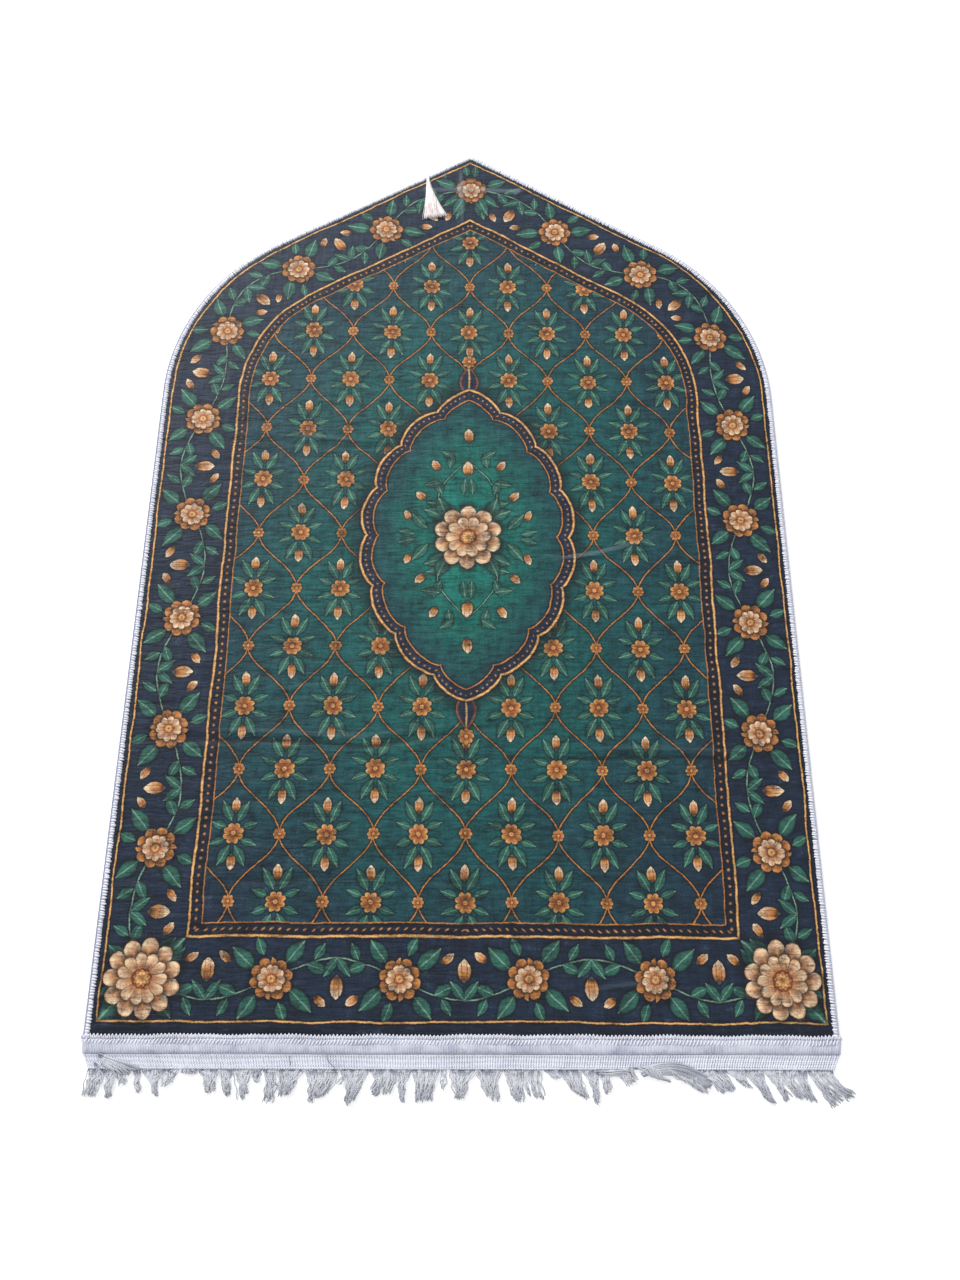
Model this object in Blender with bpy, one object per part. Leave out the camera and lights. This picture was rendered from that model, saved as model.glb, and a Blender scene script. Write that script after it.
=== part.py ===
"""An arched prayer rug lying flat: velvet cloth, overlocked edging, folded hem tape, fringe and tassel.

Metres, +Z up, +X to the right and +Y towards the apex. The origin is on the underside, half way up the rug.
"""

import math
import random

import bmesh
import bpy

# The rug's outline, over its edging and its hem tape
RUG_WIDTH = 0.800
RUG_LENGTH = 1.195
SHOULDER_RADIUS = 0.282
ROOF_ANGLE = math.radians(30.9)
APEX_RADIUS = 0.012
SHOULDER_STEPS = 20
APEX_STEPS = 8

# The cloth, and its rim that is pressed thin inside the edging
CLOTH_THICKNESS = 0.0040
RIM_THICKNESS = 0.0022
SEAT_GAP = 0.0003

# The overlocked edging: how thick its yarn lies round the rim, and how far in it reaches
YARN_THICKNESS = 0.0009
EDGING_OUTER_WALL = 0.0012
EDGING_REACH = 0.0075
EDGING_HEIGHT = 2 * YARN_THICKNESS + 2 * SEAT_GAP + RIM_THICKNESS
EDGING_ROUNDING = 0.0013

# The tape folded over the straight lower edge
HEM_REACH = 0.018
HEM_CORNER_DRAW = 0.003
HEM_OVERHANG = 0.0015
HEM_ROLL_HEIGHT = 0.0053

# The fringe's heading and strands
HEADING_DEPTH = 0.0145
HEADING_THICKNESS = 0.0021
HEADING_HALF_TOP = 0.396
HEADING_HALF_BOTTOM = 0.3895
MILLIMETRE = 0.001
STRAND_PITCH = 3.9
STRAND_STEPS = 3
STRAND_STEP_POWER = 1.3
STRAND_FILL = 0.72
STRAND_RAGGED = 1.0
LEAN_POWER = 1.2
STRAND_BEND_SHARE = 0.2
STRAND_HEIGHT_PER_WIDTH = 0.62
STRAND_TOP_PER_WIDTH = 0.62
STRAND_WIDEST = 0.0027
STRAND_ROOT_DEPTH = 0.003
STRAND_LIFT_IN_HEADING = 0.0003

# The tassel: where it is sewn on the edging, where the two corners of its skirt lie, and how it flares
TASSEL_TOP = (-0.0610, 0.5595)
TASSEL_SKIRT_LEFT = (-0.0650, 0.4800)
TASSEL_SKIRT_RIGHT = (-0.0315, 0.4865)
TASSEL_STALK_WIDTH = 0.0032
TASSEL_FLARE = 1.7
TASSEL_HEAD_SHARE = 0.46
TASSEL_HEAD_STEPS = 8
TASSEL_HEAD_END_WIDTH = 0.80
TASSEL_HEAD_HEIGHT_PER_WIDTH = 0.30
TASSEL_ROUND_STEPS = 6
TASSEL_STRANDS = 13
TASSEL_STRAND_STEPS = 3
TASSEL_ROOT_SHARE = 0.06
TASSEL_GATHERED = 0.72
TASSEL_UPPER_SHORTER = 0.04

HEM_FOLD_Y = -RUG_LENGTH / 2
HEM_TOP_Y = HEM_FOLD_Y + HEM_REACH
HEADING_TOP_Y = HEM_FOLD_Y - SEAT_GAP
HEADING_BOTTOM_Y = HEADING_TOP_Y - HEADING_DEPTH
RIM_INSET = EDGING_OUTER_WALL + SEAT_GAP
RIM_BOTTOM_Z = YARN_THICKNESS + SEAT_GAP
RIM_TOP_Z = RIM_BOTTOM_Z + RIM_THICKNESS

# Locks of the fringe, left to right, in millimetres. "lean" is how far a strand would drift sideways by
# FULL_REACH below the heading, and "reach" is where it is cut, so that no two strands of the row cross.
FULL_REACH = 30.0
LOCK_COLUMNS = ("root_from", "root_to", "lean_from", "lean_to", "reach_from", "reach_to")
LOCKS = (
    (-388, -374, -6, -4, 25, 27),
    (-370, -358, 0, -2, 28, 26),
    (-354, -346, 0, -5, 18, 15),
    (-342, -338, 6, 6, 25, 23),
    (-333, -298, 15, -12, 28, 14),
    (-294, -278, -6, 4, 4, 5),
    (-274, -257, 2, 4, 26, 23),
    (-253, -242, 7, 4, 28, 26),
    (-238, -222, 5, 0, 31, 25),
    (-218, -212, 1, -3, 13, 12),
    (-208, -198, -1, -3, 30, 32),
    (-194, -168, 2, -16, 26, 24),
    (-164, -132, 2, -18, 31, 29),
    (-128, -128, -8, -8, 15, 15),
    (-123, -101, 0, -13, 34, 29),
    (-97, -87, -6, -8, 24, 26),
    (-83, -71, -4, -8, 24, 22),
    (-67, -56, 1, -3, 31, 33),
    (-52, -26, 1, -6, 31, 32),
    (-21, -21, -2, -2, 21, 21),
    (-12, 11, 5, -8, 30, 28),
    (15, 40, 10, 2, 24, 31),
    (44, 60, 7, 3, 30, 32),
    (64, 80, 6, 7, 28, 30),
    (85, 94, 34, 28, 8, 9),
    (99, 121, 22, 10, 25, 31),
    (125, 138, 8, 4, 33, 30),
    (142, 154, 4, 3, 25, 22),
    (158, 173, 20, 58, 17, 8),
    (178, 216, 66, 40, 11, 15),
    (220, 243, 38, 25, 21, 24),
    (248, 272, 26, 26, 25, 20),
    (276, 289, 30, 24, 15, 19),
    (294, 313, 21, 14, 32, 34),
    (317, 331, 15, 13, 31, 27),
    (335, 360, 19, 9, 29, 31),
    (364, 387, 14, 27, 35, 23),
)


def clear_scene():
    for existing in list(bpy.data.objects):
        bpy.data.objects.remove(existing, do_unlink=True)


def new_collection(name):
    collection = bpy.data.collections.new(name)
    bpy.context.scene.collection.children.link(collection)
    return collection


def new_material(name, colour, roughness):
    material = bpy.data.materials.new(name)
    material.use_nodes = True
    shader = material.node_tree.nodes["Principled BSDF"]
    shader.inputs["Base Color"].default_value = (*colour, 1.0)
    shader.inputs["Roughness"].default_value = roughness
    shader.inputs["Metallic"].default_value = 0.0
    return material


def new_curve(name, dimensions):
    curve = bpy.data.curves.new(name, "CURVE")
    curve.dimensions = dimensions
    holder = bpy.data.objects.new(name, curve)
    rug.objects.link(holder)
    return holder


def add_spline(curve_object, points, closed=False, radii=None):
    """Adds one straight-sided spline. Its points may be flat or have a height."""
    spline = curve_object.data.splines.new("POLY")
    spline.points.add(len(points) - 1)
    spline.use_cyclic_u = closed
    for index, point in enumerate(points):
        height = point[2] if len(point) == 3 else 0.0
        spline.points[index].co = (point[0], point[1], height, 1.0)
        if radii:
            spline.points[index].radius = radii[index]


def new_sweep(name, section_points):
    """A curve object that carries a closed section along its splines, kept upright, with closed ends."""
    section = new_curve(name + "_section", "2D")
    add_spline(section, section_points, closed=True)
    sweep = new_curve(name, "3D")
    sweep.data.twist_mode = "Z_UP"
    sweep.data.bevel_mode = "OBJECT"
    sweep.data.bevel_object = section
    sweep.data.use_fill_caps = True
    return sweep


def curve_to_mesh(curve_object):
    """Turns a curve object into a mesh object of the same name, with its caps welded on."""
    name = curve_object.name
    section = curve_object.data.bevel_object
    bpy.context.view_layer.update()
    evaluated = curve_object.evaluated_get(bpy.context.evaluated_depsgraph_get())
    mesh = bpy.data.meshes.new_from_object(evaluated)
    welded = bmesh.new()
    welded.from_mesh(mesh)
    bmesh.ops.remove_doubles(welded, verts=welded.verts, dist=1e-6)
    bmesh.ops.recalc_face_normals(welded, faces=welded.faces)
    welded.to_mesh(mesh)
    welded.free()
    placed = curve_object.matrix_world.copy()
    bpy.data.objects.remove(curve_object, do_unlink=True)
    if section:
        bpy.data.objects.remove(section, do_unlink=True)
    piece = bpy.data.objects.new(name, mesh)
    piece.matrix_world = placed
    rug.objects.link(piece)
    return piece


def slab(name, outline, bottom_z, top_z):
    """A flat sheet with the given outline, between two heights."""
    flat = new_curve(name, "2D")
    flat.data.fill_mode = "BOTH"
    flat.data.extrude = (top_z - bottom_z) / 2
    add_spline(flat, outline, closed=True)
    flat.location.z = (top_z + bottom_z) / 2
    piece = curve_to_mesh(flat)
    piece.data.transform(piece.matrix_world)
    piece.matrix_world.identity()
    return piece


def combine(piece, other, operation):
    """Joins another solid to a piece, or cuts it away, and keeps only the result."""
    boolean = piece.modifiers.new(operation.title(), "BOOLEAN")
    boolean.operation = operation
    boolean.object = other
    bpy.context.view_layer.update()
    evaluated = piece.evaluated_get(bpy.context.evaluated_depsgraph_get())
    result = bpy.data.meshes.new_from_object(evaluated)
    piece.modifiers.clear()
    piece.data = result
    bpy.data.objects.remove(other, do_unlink=True)


def finish(piece, material, smooth_angle):
    piece.data.materials.clear()
    piece.data.materials.append(material)
    piece.data.shade_smooth()
    piece.data.set_sharp_from_angle(angle=math.radians(smooth_angle))


def arc(centre, radius, start, end, steps):
    turns = [start + (end - start) * step / steps for step in range(steps + 1)]
    return [(centre[0] + radius * math.cos(turn), centre[1] + radius * math.sin(turn)) for turn in turns]


def arch(inset):
    """The rug's edge moved in by inset, from the foot of the right side over the apex to the left one."""
    apex_centre = (0.0, RUG_LENGTH / 2 - APEX_RADIUS)
    roof_peak = apex_centre[1] + APEX_RADIUS / math.cos(ROOF_ANGLE)
    shoulder_x = RUG_WIDTH / 2 - SHOULDER_RADIUS
    drop = (SHOULDER_RADIUS + shoulder_x * math.sin(ROOF_ANGLE)) / math.cos(ROOF_ANGLE)
    shoulder_y = roof_peak - drop
    roof_normal = math.pi / 2 - ROOF_ANGLE
    right = arc((shoulder_x, shoulder_y), SHOULDER_RADIUS - inset, 0.0, roof_normal, SHOULDER_STEPS)
    apex = arc(apex_centre, APEX_RADIUS - inset, roof_normal, math.pi - roof_normal, APEX_STEPS)
    left = [(-x, y) for x, y in reversed(right)]
    return right + apex + left


def arch_with_feet(inset, foot_y):
    """The same edge with its straight sides carried down to a height above the hem tape's inner edge."""
    side = RUG_WIDTH / 2 - inset
    return [(side, foot_y)] + arch(inset) + [(-side, foot_y)]


def rim_outline(inset):
    """The cloth's rim: its sides draw in a little at the corners that the hem tape covers."""
    side = RUG_WIDTH / 2 - inset
    foot = side - HEM_CORNER_DRAW
    foot_y = HEM_FOLD_Y + inset
    return [(foot, foot_y)] + arch_with_feet(inset, HEM_TOP_Y) + [(-foot, foot_y)]


def make_rug_body():
    """The velvet cloth: full thickness inside the edging, and a pressed rim that the edging wraps."""
    covered = EDGING_REACH + SEAT_GAP
    body = slab("rug_body", arch_with_feet(covered, HEM_TOP_Y + SEAT_GAP), 0.0, CLOTH_THICKNESS)
    rim = slab("rim", rim_outline(RIM_INSET), RIM_BOTTOM_Z, RIM_TOP_Z)
    combine(body, rim, "UNION")
    finish(body, new_material("velvet", (0.010, 0.095, 0.075), 0.85), 40)


def make_edge_binding():
    """Overlock yarn round the rim: a channel section carried along the sides and over the arch."""
    height, wall, reach, rounding = EDGING_HEIGHT, EDGING_OUTER_WALL, EDGING_REACH, EDGING_ROUNDING
    softened = YARN_THICKNESS * 0.4
    section_points = (
        (-reach, 0.0),
        (-rounding, 0.0),
        (-rounding * 0.3, rounding * 0.5),
        (0.0, height * 0.35),
        (0.0, height * 0.65),
        (-rounding * 0.3, height - rounding * 0.5),
        (-rounding, height),
        (-reach + softened, height),
        (-reach, height - softened),
        (-reach, height - YARN_THICKNESS),
        (-wall, height - YARN_THICKNESS),
        (-wall, YARN_THICKNESS),
        (-reach, YARN_THICKNESS),
    )
    path = new_sweep("edge_binding", section_points)
    add_spline(path, arch_with_feet(0.0, HEM_TOP_Y + SEAT_GAP))
    binding = curve_to_mesh(path)
    finish(binding, new_material("edging_yarn", (0.62, 0.63, 0.72), 0.8), 50)


def make_hem_band():
    """The hem tape: a soft roll along the lower edge, hollowed for the cloth's rim and closed at its ends."""
    section = new_curve("hem_band", "2D")
    section.data.fill_mode = "BOTH"
    section.data.extrude = RUG_WIDTH / 2 + HEM_OVERHANG
    roll = HEM_ROLL_HEIGHT
    section_points = (
        (HEM_REACH, 0.0),
        (0.0016, 0.0),
        (0.0004, 0.0010),
        (0.0, 0.0024),
        (0.0004, 0.0038),
        (0.0018, roll - 0.0004),
        (0.0050, roll),
        (0.0100, roll - 0.0002),
        (0.0150, EDGING_HEIGHT),
        (HEM_REACH - 0.0004, EDGING_HEIGHT),
        (HEM_REACH, EDGING_HEIGHT - 0.0004),
    )
    add_spline(section, section_points, closed=True)
    section.rotation_euler = (math.pi / 2, 0.0, math.pi / 2)
    section.location.y = HEM_FOLD_Y
    band = curve_to_mesh(section)
    band.data.transform(band.matrix_world)
    band.matrix_world.identity()
    for vertex in band.data.vertices:
        below_top = HEM_TOP_Y - vertex.co.y
        drawn_in = HEM_CORNER_DRAW * below_top / HEM_REACH
        vertex.co.x -= math.copysign(drawn_in, vertex.co.x)
    pocket = slab("pocket", rim_outline(EDGING_OUTER_WALL), YARN_THICKNESS, RIM_TOP_Z + SEAT_GAP)
    combine(band, pocket, "DIFFERENCE")
    finish(band, new_material("hem_tape", (0.60, 0.62, 0.71), 0.85), 40)


def new_strands(name):
    """A sweep whose splines are strands: four-sided, flat side down, as wide as each point's radius."""
    half_top = STRAND_TOP_PER_WIDTH / 2
    height = STRAND_HEIGHT_PER_WIDTH
    return new_sweep(name, ((-0.5, 0.0), (0.5, 0.0), (half_top, height), (-half_top, height)))


def between(lock, column, share):
    """A value of the lock's first strand, its last one, or one between them."""
    first, last = lock[column + "_from"], lock[column + "_to"]
    return first + (last - first) * share


def add_lock(strands, lock, chance):
    """One lock: a row of strands that draws together, or leans, as it leaves the heading."""
    count = round((lock["root_to"] - lock["root_from"]) / STRAND_PITCH) + 1
    steps = max(count - 1, 1)
    root_pitch = (lock["root_to"] - lock["root_from"]) / steps or STRAND_PITCH
    closing = (lock["lean_to"] - lock["lean_from"]) / steps
    for index in range(count):
        share = index / steps
        root = between(lock, "root", share)
        lean = between(lock, "lean", share)
        reach = between(lock, "reach", share) + chance.uniform(-STRAND_RAGGED, STRAND_RAGGED)
        points = [(root * MILLIMETRE, HEADING_BOTTOM_Y + STRAND_ROOT_DEPTH, STRAND_LIFT_IN_HEADING)]
        widths = []
        for step in range(STRAND_STEPS + 1):
            below = reach * (step / STRAND_STEPS) ** STRAND_STEP_POWER
            drift = (below / FULL_REACH) ** LEAN_POWER
            steepest = max(below, reach * STRAND_BEND_SHARE) / FULL_REACH
            slope = lean * LEAN_POWER * steepest ** (LEAN_POWER - 1) / FULL_REACH
            lift = STRAND_LIFT_IN_HEADING / 2 if step == 0 else 0.0
            points.append(((root + lean * drift) * MILLIMETRE, HEADING_BOTTOM_Y - below * MILLIMETRE, lift))
            room = (root_pitch + closing * drift) / math.hypot(1.0, slope)
            widths.append(min(room * STRAND_FILL * MILLIMETRE, STRAND_WIDEST))
        add_spline(strands, points, radii=[widths[0]] + widths)


def make_fringe():
    """The woven heading along the hem tape, with the strands fused into its lower edge."""
    outline = (
        (-HEADING_HALF_BOTTOM, HEADING_BOTTOM_Y),
        (HEADING_HALF_BOTTOM, HEADING_BOTTOM_Y),
        (HEADING_HALF_TOP, HEADING_TOP_Y),
        (-HEADING_HALF_TOP, HEADING_TOP_Y),
    )
    fringe = slab("fringe", outline, 0.0, HEADING_THICKNESS)
    strands = new_strands("fringe_strands")
    chance = random.Random(7)
    for row in LOCKS:
        add_lock(strands, dict(zip(LOCK_COLUMNS, row)), chance)
    combine(fringe, curve_to_mesh(strands), "UNION")
    finish(fringe, new_material("fringe_cotton", (0.62, 0.63, 0.68), 0.9), 40)


def tassel_place(along, across):
    """A point of the tassel, from its sewn end to its skirt and from its left side to its right one."""
    flare = along ** TASSEL_FLARE
    stalk_shift = (across - 0.5) * TASSEL_STALK_WIDTH
    skirt_x = TASSEL_SKIRT_LEFT[0] + (TASSEL_SKIRT_RIGHT[0] - TASSEL_SKIRT_LEFT[0]) * across
    skirt_y = TASSEL_SKIRT_LEFT[1] + (TASSEL_SKIRT_RIGHT[1] - TASSEL_SKIRT_LEFT[1]) * across
    x = (TASSEL_TOP[0] + stalk_shift) * (1 - flare) + skirt_x * flare
    y = TASSEL_TOP[1] * (1 - along) + skirt_y * along
    return x, y


def tassel_width(along):
    left = tassel_place(along, 0.0)
    right = tassel_place(along, 1.0)
    return right[0] - left[0]


def tassel_rest_height(along):
    """The tassel starts on the edging and comes down on to the cloth."""
    on_edging = EDGING_HEIGHT + SEAT_GAP
    on_cloth = CLOTH_THICKNESS + SEAT_GAP
    off_edging_from, on_cloth_from = 0.09, 0.15
    share = min(max((along - off_edging_from) / (on_cloth_from - off_edging_from), 0.0), 1.0)
    return on_edging + (on_cloth - on_edging) * share


def make_tassel_head():
    """The bound, silky upper half: half round, flat side down, and rounded in where the strands leave it."""
    turns = [math.pi * step / TASSEL_ROUND_STEPS for step in range(TASSEL_ROUND_STEPS + 1)]
    half_round = [(0.5 * math.cos(turn), TASSEL_HEAD_HEIGHT_PER_WIDTH * math.sin(turn)) for turn in turns]
    head = new_sweep("tassel", half_round)
    points = []
    widths = []
    for step in range(TASSEL_HEAD_STEPS + 1):
        along = TASSEL_HEAD_SHARE * step / TASSEL_HEAD_STEPS
        points.append((*tassel_place(along, 0.5), tassel_rest_height(along)))
        widths.append(tassel_width(along))
    widths[-1] *= TASSEL_HEAD_END_WIDTH
    add_spline(head, points, radii=widths)
    return curve_to_mesh(head)


def add_tassel_strand(strands, across, layer, root, end):
    """One strand: it leaves the head gathered in, and spreads to its place in the skirt."""
    places = [root]
    for step in range(TASSEL_STRAND_STEPS + 1):
        places.append(TASSEL_HEAD_SHARE + (end - TASSEL_HEAD_SHARE) * step / TASSEL_STRAND_STEPS)
    points = []
    widths = []
    for along in places:
        spread = TASSEL_GATHERED + (1 - TASSEL_GATHERED) * (along - root) / (end - root)
        width = tassel_width(along) * spread / TASSEL_STRANDS * STRAND_FILL
        height = tassel_rest_height(along) + layer * (width * STRAND_HEIGHT_PER_WIDTH + SEAT_GAP)
        if along == root:
            height += STRAND_LIFT_IN_HEADING
        points.append((*tassel_place(along, 0.5 + (across - 0.5) * spread), height))
        widths.append(width)
    add_spline(strands, points, radii=widths)


def make_tassel():
    """A silky tassel lying flat on the cloth: its head, with two layers of strands fused into it."""
    tassel = make_tassel_head()
    strands = new_strands("tassel_strands")
    for layer in range(2):
        count = TASSEL_STRANDS - layer
        for index in range(count):
            across = (index + 0.5) / count
            end = 1.0 - layer * TASSEL_UPPER_SHORTER
            add_tassel_strand(strands, across, layer, TASSEL_HEAD_SHARE - TASSEL_ROOT_SHARE, end)
    combine(tassel, curve_to_mesh(strands), "UNION")
    finish(tassel, new_material("tassel_silk", (0.80, 0.78, 0.76), 0.4), 40)


clear_scene()
rug = new_collection("prayer_rug")
make_rug_body()
make_edge_binding()
make_hem_band()
make_fringe()
make_tassel()
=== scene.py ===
"""A prayer rug laid flat: printed velvet, an overlocked edging, a hem tape, a cotton fringe and a tassel.

Metres, +Z up, +X to the right and +Y towards the apex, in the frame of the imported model.
"""

import math

import bmesh
import bpy
import numpy as np
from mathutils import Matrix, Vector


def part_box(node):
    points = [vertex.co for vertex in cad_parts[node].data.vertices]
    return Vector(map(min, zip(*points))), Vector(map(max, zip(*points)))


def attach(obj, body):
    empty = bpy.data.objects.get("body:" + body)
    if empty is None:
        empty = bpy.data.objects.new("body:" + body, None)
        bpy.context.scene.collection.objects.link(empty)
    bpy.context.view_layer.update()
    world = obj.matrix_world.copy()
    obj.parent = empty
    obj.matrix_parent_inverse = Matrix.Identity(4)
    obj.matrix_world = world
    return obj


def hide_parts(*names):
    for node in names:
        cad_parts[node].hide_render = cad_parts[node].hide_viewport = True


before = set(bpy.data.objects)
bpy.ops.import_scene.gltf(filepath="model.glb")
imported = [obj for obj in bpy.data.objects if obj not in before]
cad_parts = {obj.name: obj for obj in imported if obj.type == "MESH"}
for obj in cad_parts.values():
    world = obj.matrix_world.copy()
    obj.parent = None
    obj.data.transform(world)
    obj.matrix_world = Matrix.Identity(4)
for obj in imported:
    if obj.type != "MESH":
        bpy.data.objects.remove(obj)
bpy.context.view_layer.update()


# THE STUDIO
# A plain white floor under soft light. The camera stands over the fringe and looks down at the rug, as in the
# photo.
CAMERA_PLACE = (-0.0029, -0.5039, 1.0969)
CAMERA_TURN_DEG = (18.4499, -1.03407, 0.19673)
CAMERA_LENS_MM = 27.0
FLOOR_SIDE = 14.0
FLOOR_GLOW = 0.3
WINDOW_PLACE = (-2.4, 3.3, 2.4)
WINDOW_SIDE = 1.3
WINDOW_WATTS = 235.0
FILL_PLACE = (1.2, -1.2, 2.2)
FILL_SIDE = 2.4
FILL_WATTS = 10.0
SKY_STRENGTH = 0.64
WHITE = (1.0, 1.0, 1.0, 1.0)


def placed(name, data):
    """A new object at the origin, in the scene."""
    thing = bpy.data.objects.new(name, data)
    bpy.context.scene.collection.objects.link(thing)
    return thing


def fill(node, inputs):
    """Sets a node's inputs, in order or by name. A socket or a measure is linked, and the rest are values."""
    for place, value in inputs.items() if isinstance(inputs, dict) else enumerate(inputs):
        value = getattr(value, "socket", value)
        if isinstance(value, bpy.types.NodeSocket):
            node.id_data.links.new(value, node.inputs[place])
        else:
            node.inputs[place].default_value = value


def add_softbox(name, place, side, watts):
    """A square light that faces the middle of the rug."""
    light = bpy.data.lights.new(name, "AREA")
    light.size = side
    light.energy = watts
    softbox = placed(name, light)
    softbox.location = place
    softbox.rotation_euler = softbox.location.to_track_quat("Z", "Y").to_euler()


camera = placed("camera", bpy.data.cameras.new("camera"))
camera.location = CAMERA_PLACE
camera.rotation_euler = [math.radians(turn) for turn in CAMERA_TURN_DEG]
camera.data.lens = CAMERA_LENS_MM
camera.data.sensor_fit = "VERTICAL"
camera.data.sensor_width = camera.data.sensor_height = 36.0
camera.data.clip_start = 0.01
bpy.context.scene.camera = camera
bpy.context.scene.view_settings.view_transform = "Standard"

sky = bpy.data.worlds.new("soft_white_sky")
sky.use_nodes = True
fill(sky.node_tree.nodes["Background"], {"Color": WHITE, "Strength": SKY_STRENGTH})
bpy.context.scene.world = sky
add_softbox("window_light", WINDOW_PLACE, WINDOW_SIDE, WINDOW_WATTS)
add_softbox("fill_light", FILL_PLACE, FILL_SIDE, FILL_WATTS)

bpy.ops.mesh.primitive_plane_add(size=FLOOR_SIDE)
floor = bpy.context.object
floor.name = "floor"
floor_paint = bpy.data.materials.new("white_floor")
floor_paint.use_nodes = True
fill(floor_paint.node_tree.nodes["Principled BSDF"], {
    "Base Color": (0.92, 0.92, 0.92, 1.0), "Roughness": 0.9, "Emission Color": WHITE,
    "Emission Strength": FLOOR_GLOW,
})
floor.data.materials.append(floor_paint)


# THE VELVET CLOTH
# One piece of velvet cut to the arched outline and laid on the floor. Its rim is pressed thin where the
# edging and the hem tape are sewn over it, and the folds it was packed in still show as troughs and ridges.
SHOULDER_RADIUS = 0.282
ROOF_ANGLE = math.radians(30.9)
APEX_RADIUS = 0.012
CLOTH_CELL = 0.0032
CLOTH_PRESSED_TOP = 0.0033
CLOTH_PRESSED_BOTTOM = 0.0012
PRESSED_TO = 0.0065
FULL_FROM = 0.0110
UNDERSIDE_STEP = 0.0060
CORNER_HALF_WIDTH = 0.3955
FOOT_CORNER_FROM = 0.39
SWELL_HEIGHT = 0.00055
PILE_FACES_UP = 0.4
FOLD_DEPTH = 1.25
MILLIMETRE = 0.001

rug_half_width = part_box("edge_binding")[1].x
rug_apex_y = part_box("edge_binding")[1].y
hem_fold_y, hem_top_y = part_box("hem_band")[0].y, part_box("hem_band")[1].y
cloth_low, cloth_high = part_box("rug_body")
cloth_inset = rug_half_width - cloth_high.x
shoulder_x = rug_half_width - SHOULDER_RADIUS
apex_centre_y = rug_apex_y - APEX_RADIUS
roof_peak_y = apex_centre_y + APEX_RADIUS / math.cos(ROOF_ANGLE)
shoulder_y = roof_peak_y - (SHOULDER_RADIUS + shoulder_x * math.sin(ROOF_ANGLE)) / math.cos(ROOF_ANGLE)
roof_turn = math.pi / 2 - ROOF_ANGLE

# The folds that show, in millimetres: where each runs, how far it rises or dips, and its half width.
FOLDS = (
    (((-400, -265), (-364, -264), (-250, -262), (-180, -265), (-117, -270), (-65, -262), (-7, -252),
      (51, -243), (88, -240)), -1.3, 3.4),
    (((-398, -253), (-250, -251), (-117, -258), (-7, -241), (60, -232)), 0.5, 7.0),
    (((40, -283), (62, -282), (155, -282), (213, -279), (288, -281), (400, -287)), -1.3, 3.4),
    (((60, -272), (155, -271), (213, -269), (288, -271), (398, -276)), 0.45, 7.0),
    (((-120, -291), (-82, -287), (-19, -282), (62, -282)), -0.6, 4.5),
    (((-300, -297), (-264, -298), (-156, -299), (-100, -301)), -0.5, 4.0),
    (((-285, -423), (-243, -421), (-182, -418), (-127, -415), (-94, -419), (-70, -422)), -0.9, 4.5),
    (((-285, -413), (-182, -408), (-94, -409)), 0.4, 7.0),
    (((-290, 130), (-255, 128), (-191, 126), (-139, 122), (-88, 117)), -0.8, 4.5),
    (((-290, 138), (-191, 135), (-88, 127)), 0.5, 7.0),
    (((-290, 114), (-260, 111), (-215, 106), (-126, 108)), -0.6, 4.0),
    (((60, 233), (87, 231), (147, 230), (213, 226), (250, 224)), -0.7, 4.5),
    (((110, 196), (133, 194), (198, 189), (277, 185), (330, 186)), -0.8, 4.5),
    (((110, 205), (198, 199), (330, 195)), 0.4, 7.0),
    (((-250, 31), (-223, 30), (-148, 30), (-110, 32)), -0.5, 4.0),
    (((90, -37), (120, -31), (164, -23), (221, -6), (250, 2)), 0.7, 4.5),
    (((-85, 531), (-65, 534), (-1, 536), (63, 534), (84, 536)), 0.85, 5.0),
    (((-37, 569), (-36, 552)), 0.7, 3.6), (((70, 541), (62, 528)), 0.7, 3.6),
    (((-250, -26), (-226, -23), (-158, -17), (-130, -16)), -0.5, 4.5),
    (((-120, -501), (-91, -499), (103, -499), (130, -500)), -0.4, 5.0),
    (((100, -538), (124, -534), (200, -525), (240, -522)), 0.5, 5.0),
    (((-250, -545), (-227, -545), (-159, -546)), -0.4, 4.0),
    (((-290, -176), (-262, -179), (-185, -191), (-160, -193)), -0.5, 4.5),
    (((-14, 578), (-14, 571), (-14, 544), (-12, 511), (-11, 470)), 0.85, 4.2),
    (((-360, -95), (-300, -98), (-210, -92), (-150, -97)), -0.35, 3.5),
    (((-340, -122), (-260, -126), (-190, -121)), -0.35, 3.5),
    (((-320, -150), (-240, -147), (-150, -152)), -0.35, 3.5),
    (((-345, -206), (-270, -212), (-200, -207)), -0.3, 3.5),
    (((170, 92), (230, 88), (290, 92)), -0.35, 3.5),
    (((160, 58), (240, 63), (300, 58)), -0.35, 3.5),
    (((180, 20), (250, 24), (330, 17)), -0.35, 3.5),
    (((150, -62), (230, -58), (300, -64)), -0.35, 3.5),
    (((120, -205), (220, -211), (330, -204)), -0.3, 3.5),
    (((110, -330), (210, -326), (300, -332)), -0.3, 3.5),
    (((90, -380), (180, -385), (290, -379)), -0.3, 3.5),
    (((-230, -345), (-160, -349), (-90, -344)), -0.3, 3.5),
    (((-200, 215), (-140, 219), (-60, 214)), -0.3, 3.5),
    (((40, 330), (120, 326), (190, 330)), -0.3, 3.5),
    (((-60, 420), (20, 424), (110, 419)), -0.35, 4.0),
)


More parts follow.
